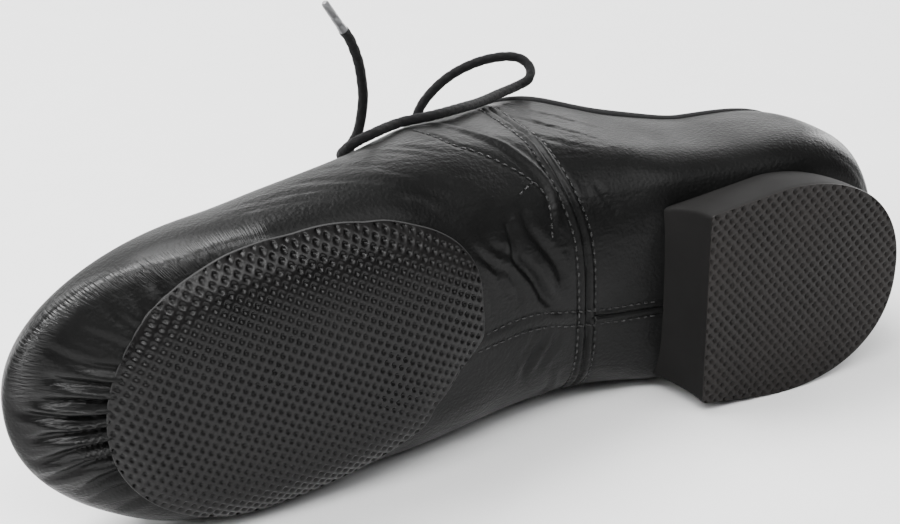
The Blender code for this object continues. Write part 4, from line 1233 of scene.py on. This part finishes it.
aglet_finish = speckled_finish("aglet_plastic", 400.0, (0.06, 0.06, 0.062), (0.15, 0.15, 0.155), (0.25, 0.4),
                               Specular_IOR_Level=0.5, Coat_Weight=0.3)


def crimped_tip(name, route):
    """The tip past a lace's end: a thin tube, narrowed at both rims and pinched twice."""
    a, b = (np.array(point, dtype=float) for point in route[-2:])
    ahead = unit(b - a)
    side = unit(np.cross(ahead, (0.0, 0.0, 1.0)))
    other = np.cross(ahead, side)
    around = 18
    piece, column, row = grid_piece(name, around + 1, len(TIP_PROFILE))
    reach, wide = np.array(TIP_PROFILE)[row].T
    turn = 2 * math.pi * column / around
    places = (b + ahead * reach[:, None] + side * (wide * np.cos(turn))[:, None]
              + other * (wide * np.sin(turn))[:, None])
    set_points(piece, in_frame(places))
    close_seams(piece, 35, merge=0.002, fill=True)
    piece.data.materials.append(aglet_finish)
    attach(piece, "root")
    return piece


for name, route in (("aglet_outer", END_ROUTE), ("aglet_inner", INNER_END_ROUTE)):
    crimped_tip(name + "_tip", route)
    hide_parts(name)
for name, route, far_end, tip in (("lace_loop_outer", LOOP_ROUTE, "knot", None),
                                  ("lace_end_outer", END_ROUTE, "fitting", "aglet_outer"),
                                  ("lace_loop_inner", INNER_LOOP_ROUTE, "knot", None),
                                  ("lace_end_inner", INNER_END_ROUTE, "fitting", "aglet_inner")):
    cord, path = cord_tube(name + "_cord", route, LACE_RADIUS)
    cord.data.materials.append(lace_finish)
    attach(cord, "root")
    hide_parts(name)

# Floor, light and camera
# A pale paper floor, a large soft light above, others behind it and before it, a long narrow one over the
# toe, weaker ones at the toe and heel, and a camera low beside the sole.
FLOOR_SIZE = 6.0
CAMERA_SPOT = (291.2, 210.0, -339.2)
CAMERA_RIGHT = (-0.9073, -0.02, -0.42)
CAMERA_FORWARD = (-0.3704, -0.4347, 0.8209)
CAMERA_LENS = 67.7

bpy.ops.object.select_all(action="DESELECT")
bpy.ops.mesh.primitive_grid_add(x_subdivisions=8, y_subdivisions=8, size=FLOOR_SIZE, location=(0, 0, -0.0002))
floor = bpy.context.object
floor.name = "paper_floor"
floor.data.materials.append(speckled_finish(
    "pale_paper", 40.0, (0.86, 0.86, 0.86), (0.9, 0.9, 0.9), Roughness=0.9, Specular_IOR_Level=0.1))


def soft_light(name, spot, target, size, power):
    """A flat soft light that faces a place."""
    light = bpy.data.lights.new(name, "AREA")
    light.shape = "RECTANGLE"
    light.size, light.size_y = size
    light.energy = power
    lamp = bpy.data.objects.new(name, light)
    bpy.context.collection.objects.link(lamp)
    lamp.location = spot
    lamp.rotation_euler = (Vector(target) - Vector(spot)).to_track_quat("-Z", "Y").to_euler()


soft_light("key_light", (-0.32, 0.42, 1.15), (0, 0, 0), (0.9, 0.75), 38)
soft_light("back_light", (0.25, 1.3, 0.5), (0, 0, 0.06), (1.8, 0.6), 15)
soft_light("strip_light", (-0.38, -0.5, 0.88), (-0.08, 0, 0.03), (0.9, 0.09), 10)
soft_light("toe_light", (-0.85, -0.3, 0.6), (-0.1, 0, 0.03), (0.4, 0.4), 3)
soft_light("rim_light", (0.95, 0.45, 0.22), (0.1, 0, 0.06), (0.5, 0.4), 7)
soft_light("fill_light", (0.3, -0.8, 1.1), (0, 0, 0.03), (1.0, 0.8), 12)
world = bpy.data.worlds.new("studio")
bpy.context.scene.world = world
world.use_nodes = True
world.node_tree.nodes["Background"].inputs["Color"].default_value = (1.0, 1.0, 1.0, 1)
world.node_tree.nodes["Background"].inputs["Strength"].default_value = 0.13

camera = bpy.data.cameras.new("photo_camera")
camera.sensor_fit = "HORIZONTAL"
camera.sensor_width = 36.0
camera.lens = CAMERA_LENS
camera.clip_start = 0.01
view = bpy.data.objects.new("photo_camera", camera)
bpy.context.collection.objects.link(view)
origin = in_frame((0, 0, 0))
right = Vector((in_frame(CAMERA_RIGHT) - origin) / MM).normalized()
forward = Vector((in_frame(CAMERA_FORWARD) - origin) / MM).normalized()
upward = right.cross(forward).normalized()
right = forward.cross(upward).normalized()
view.matrix_world = Matrix.Translation(Vector(in_frame(CAMERA_SPOT))) @ Matrix(
    (right, upward, -forward)).transposed().to_4x4()
bpy.context.scene.camera = view
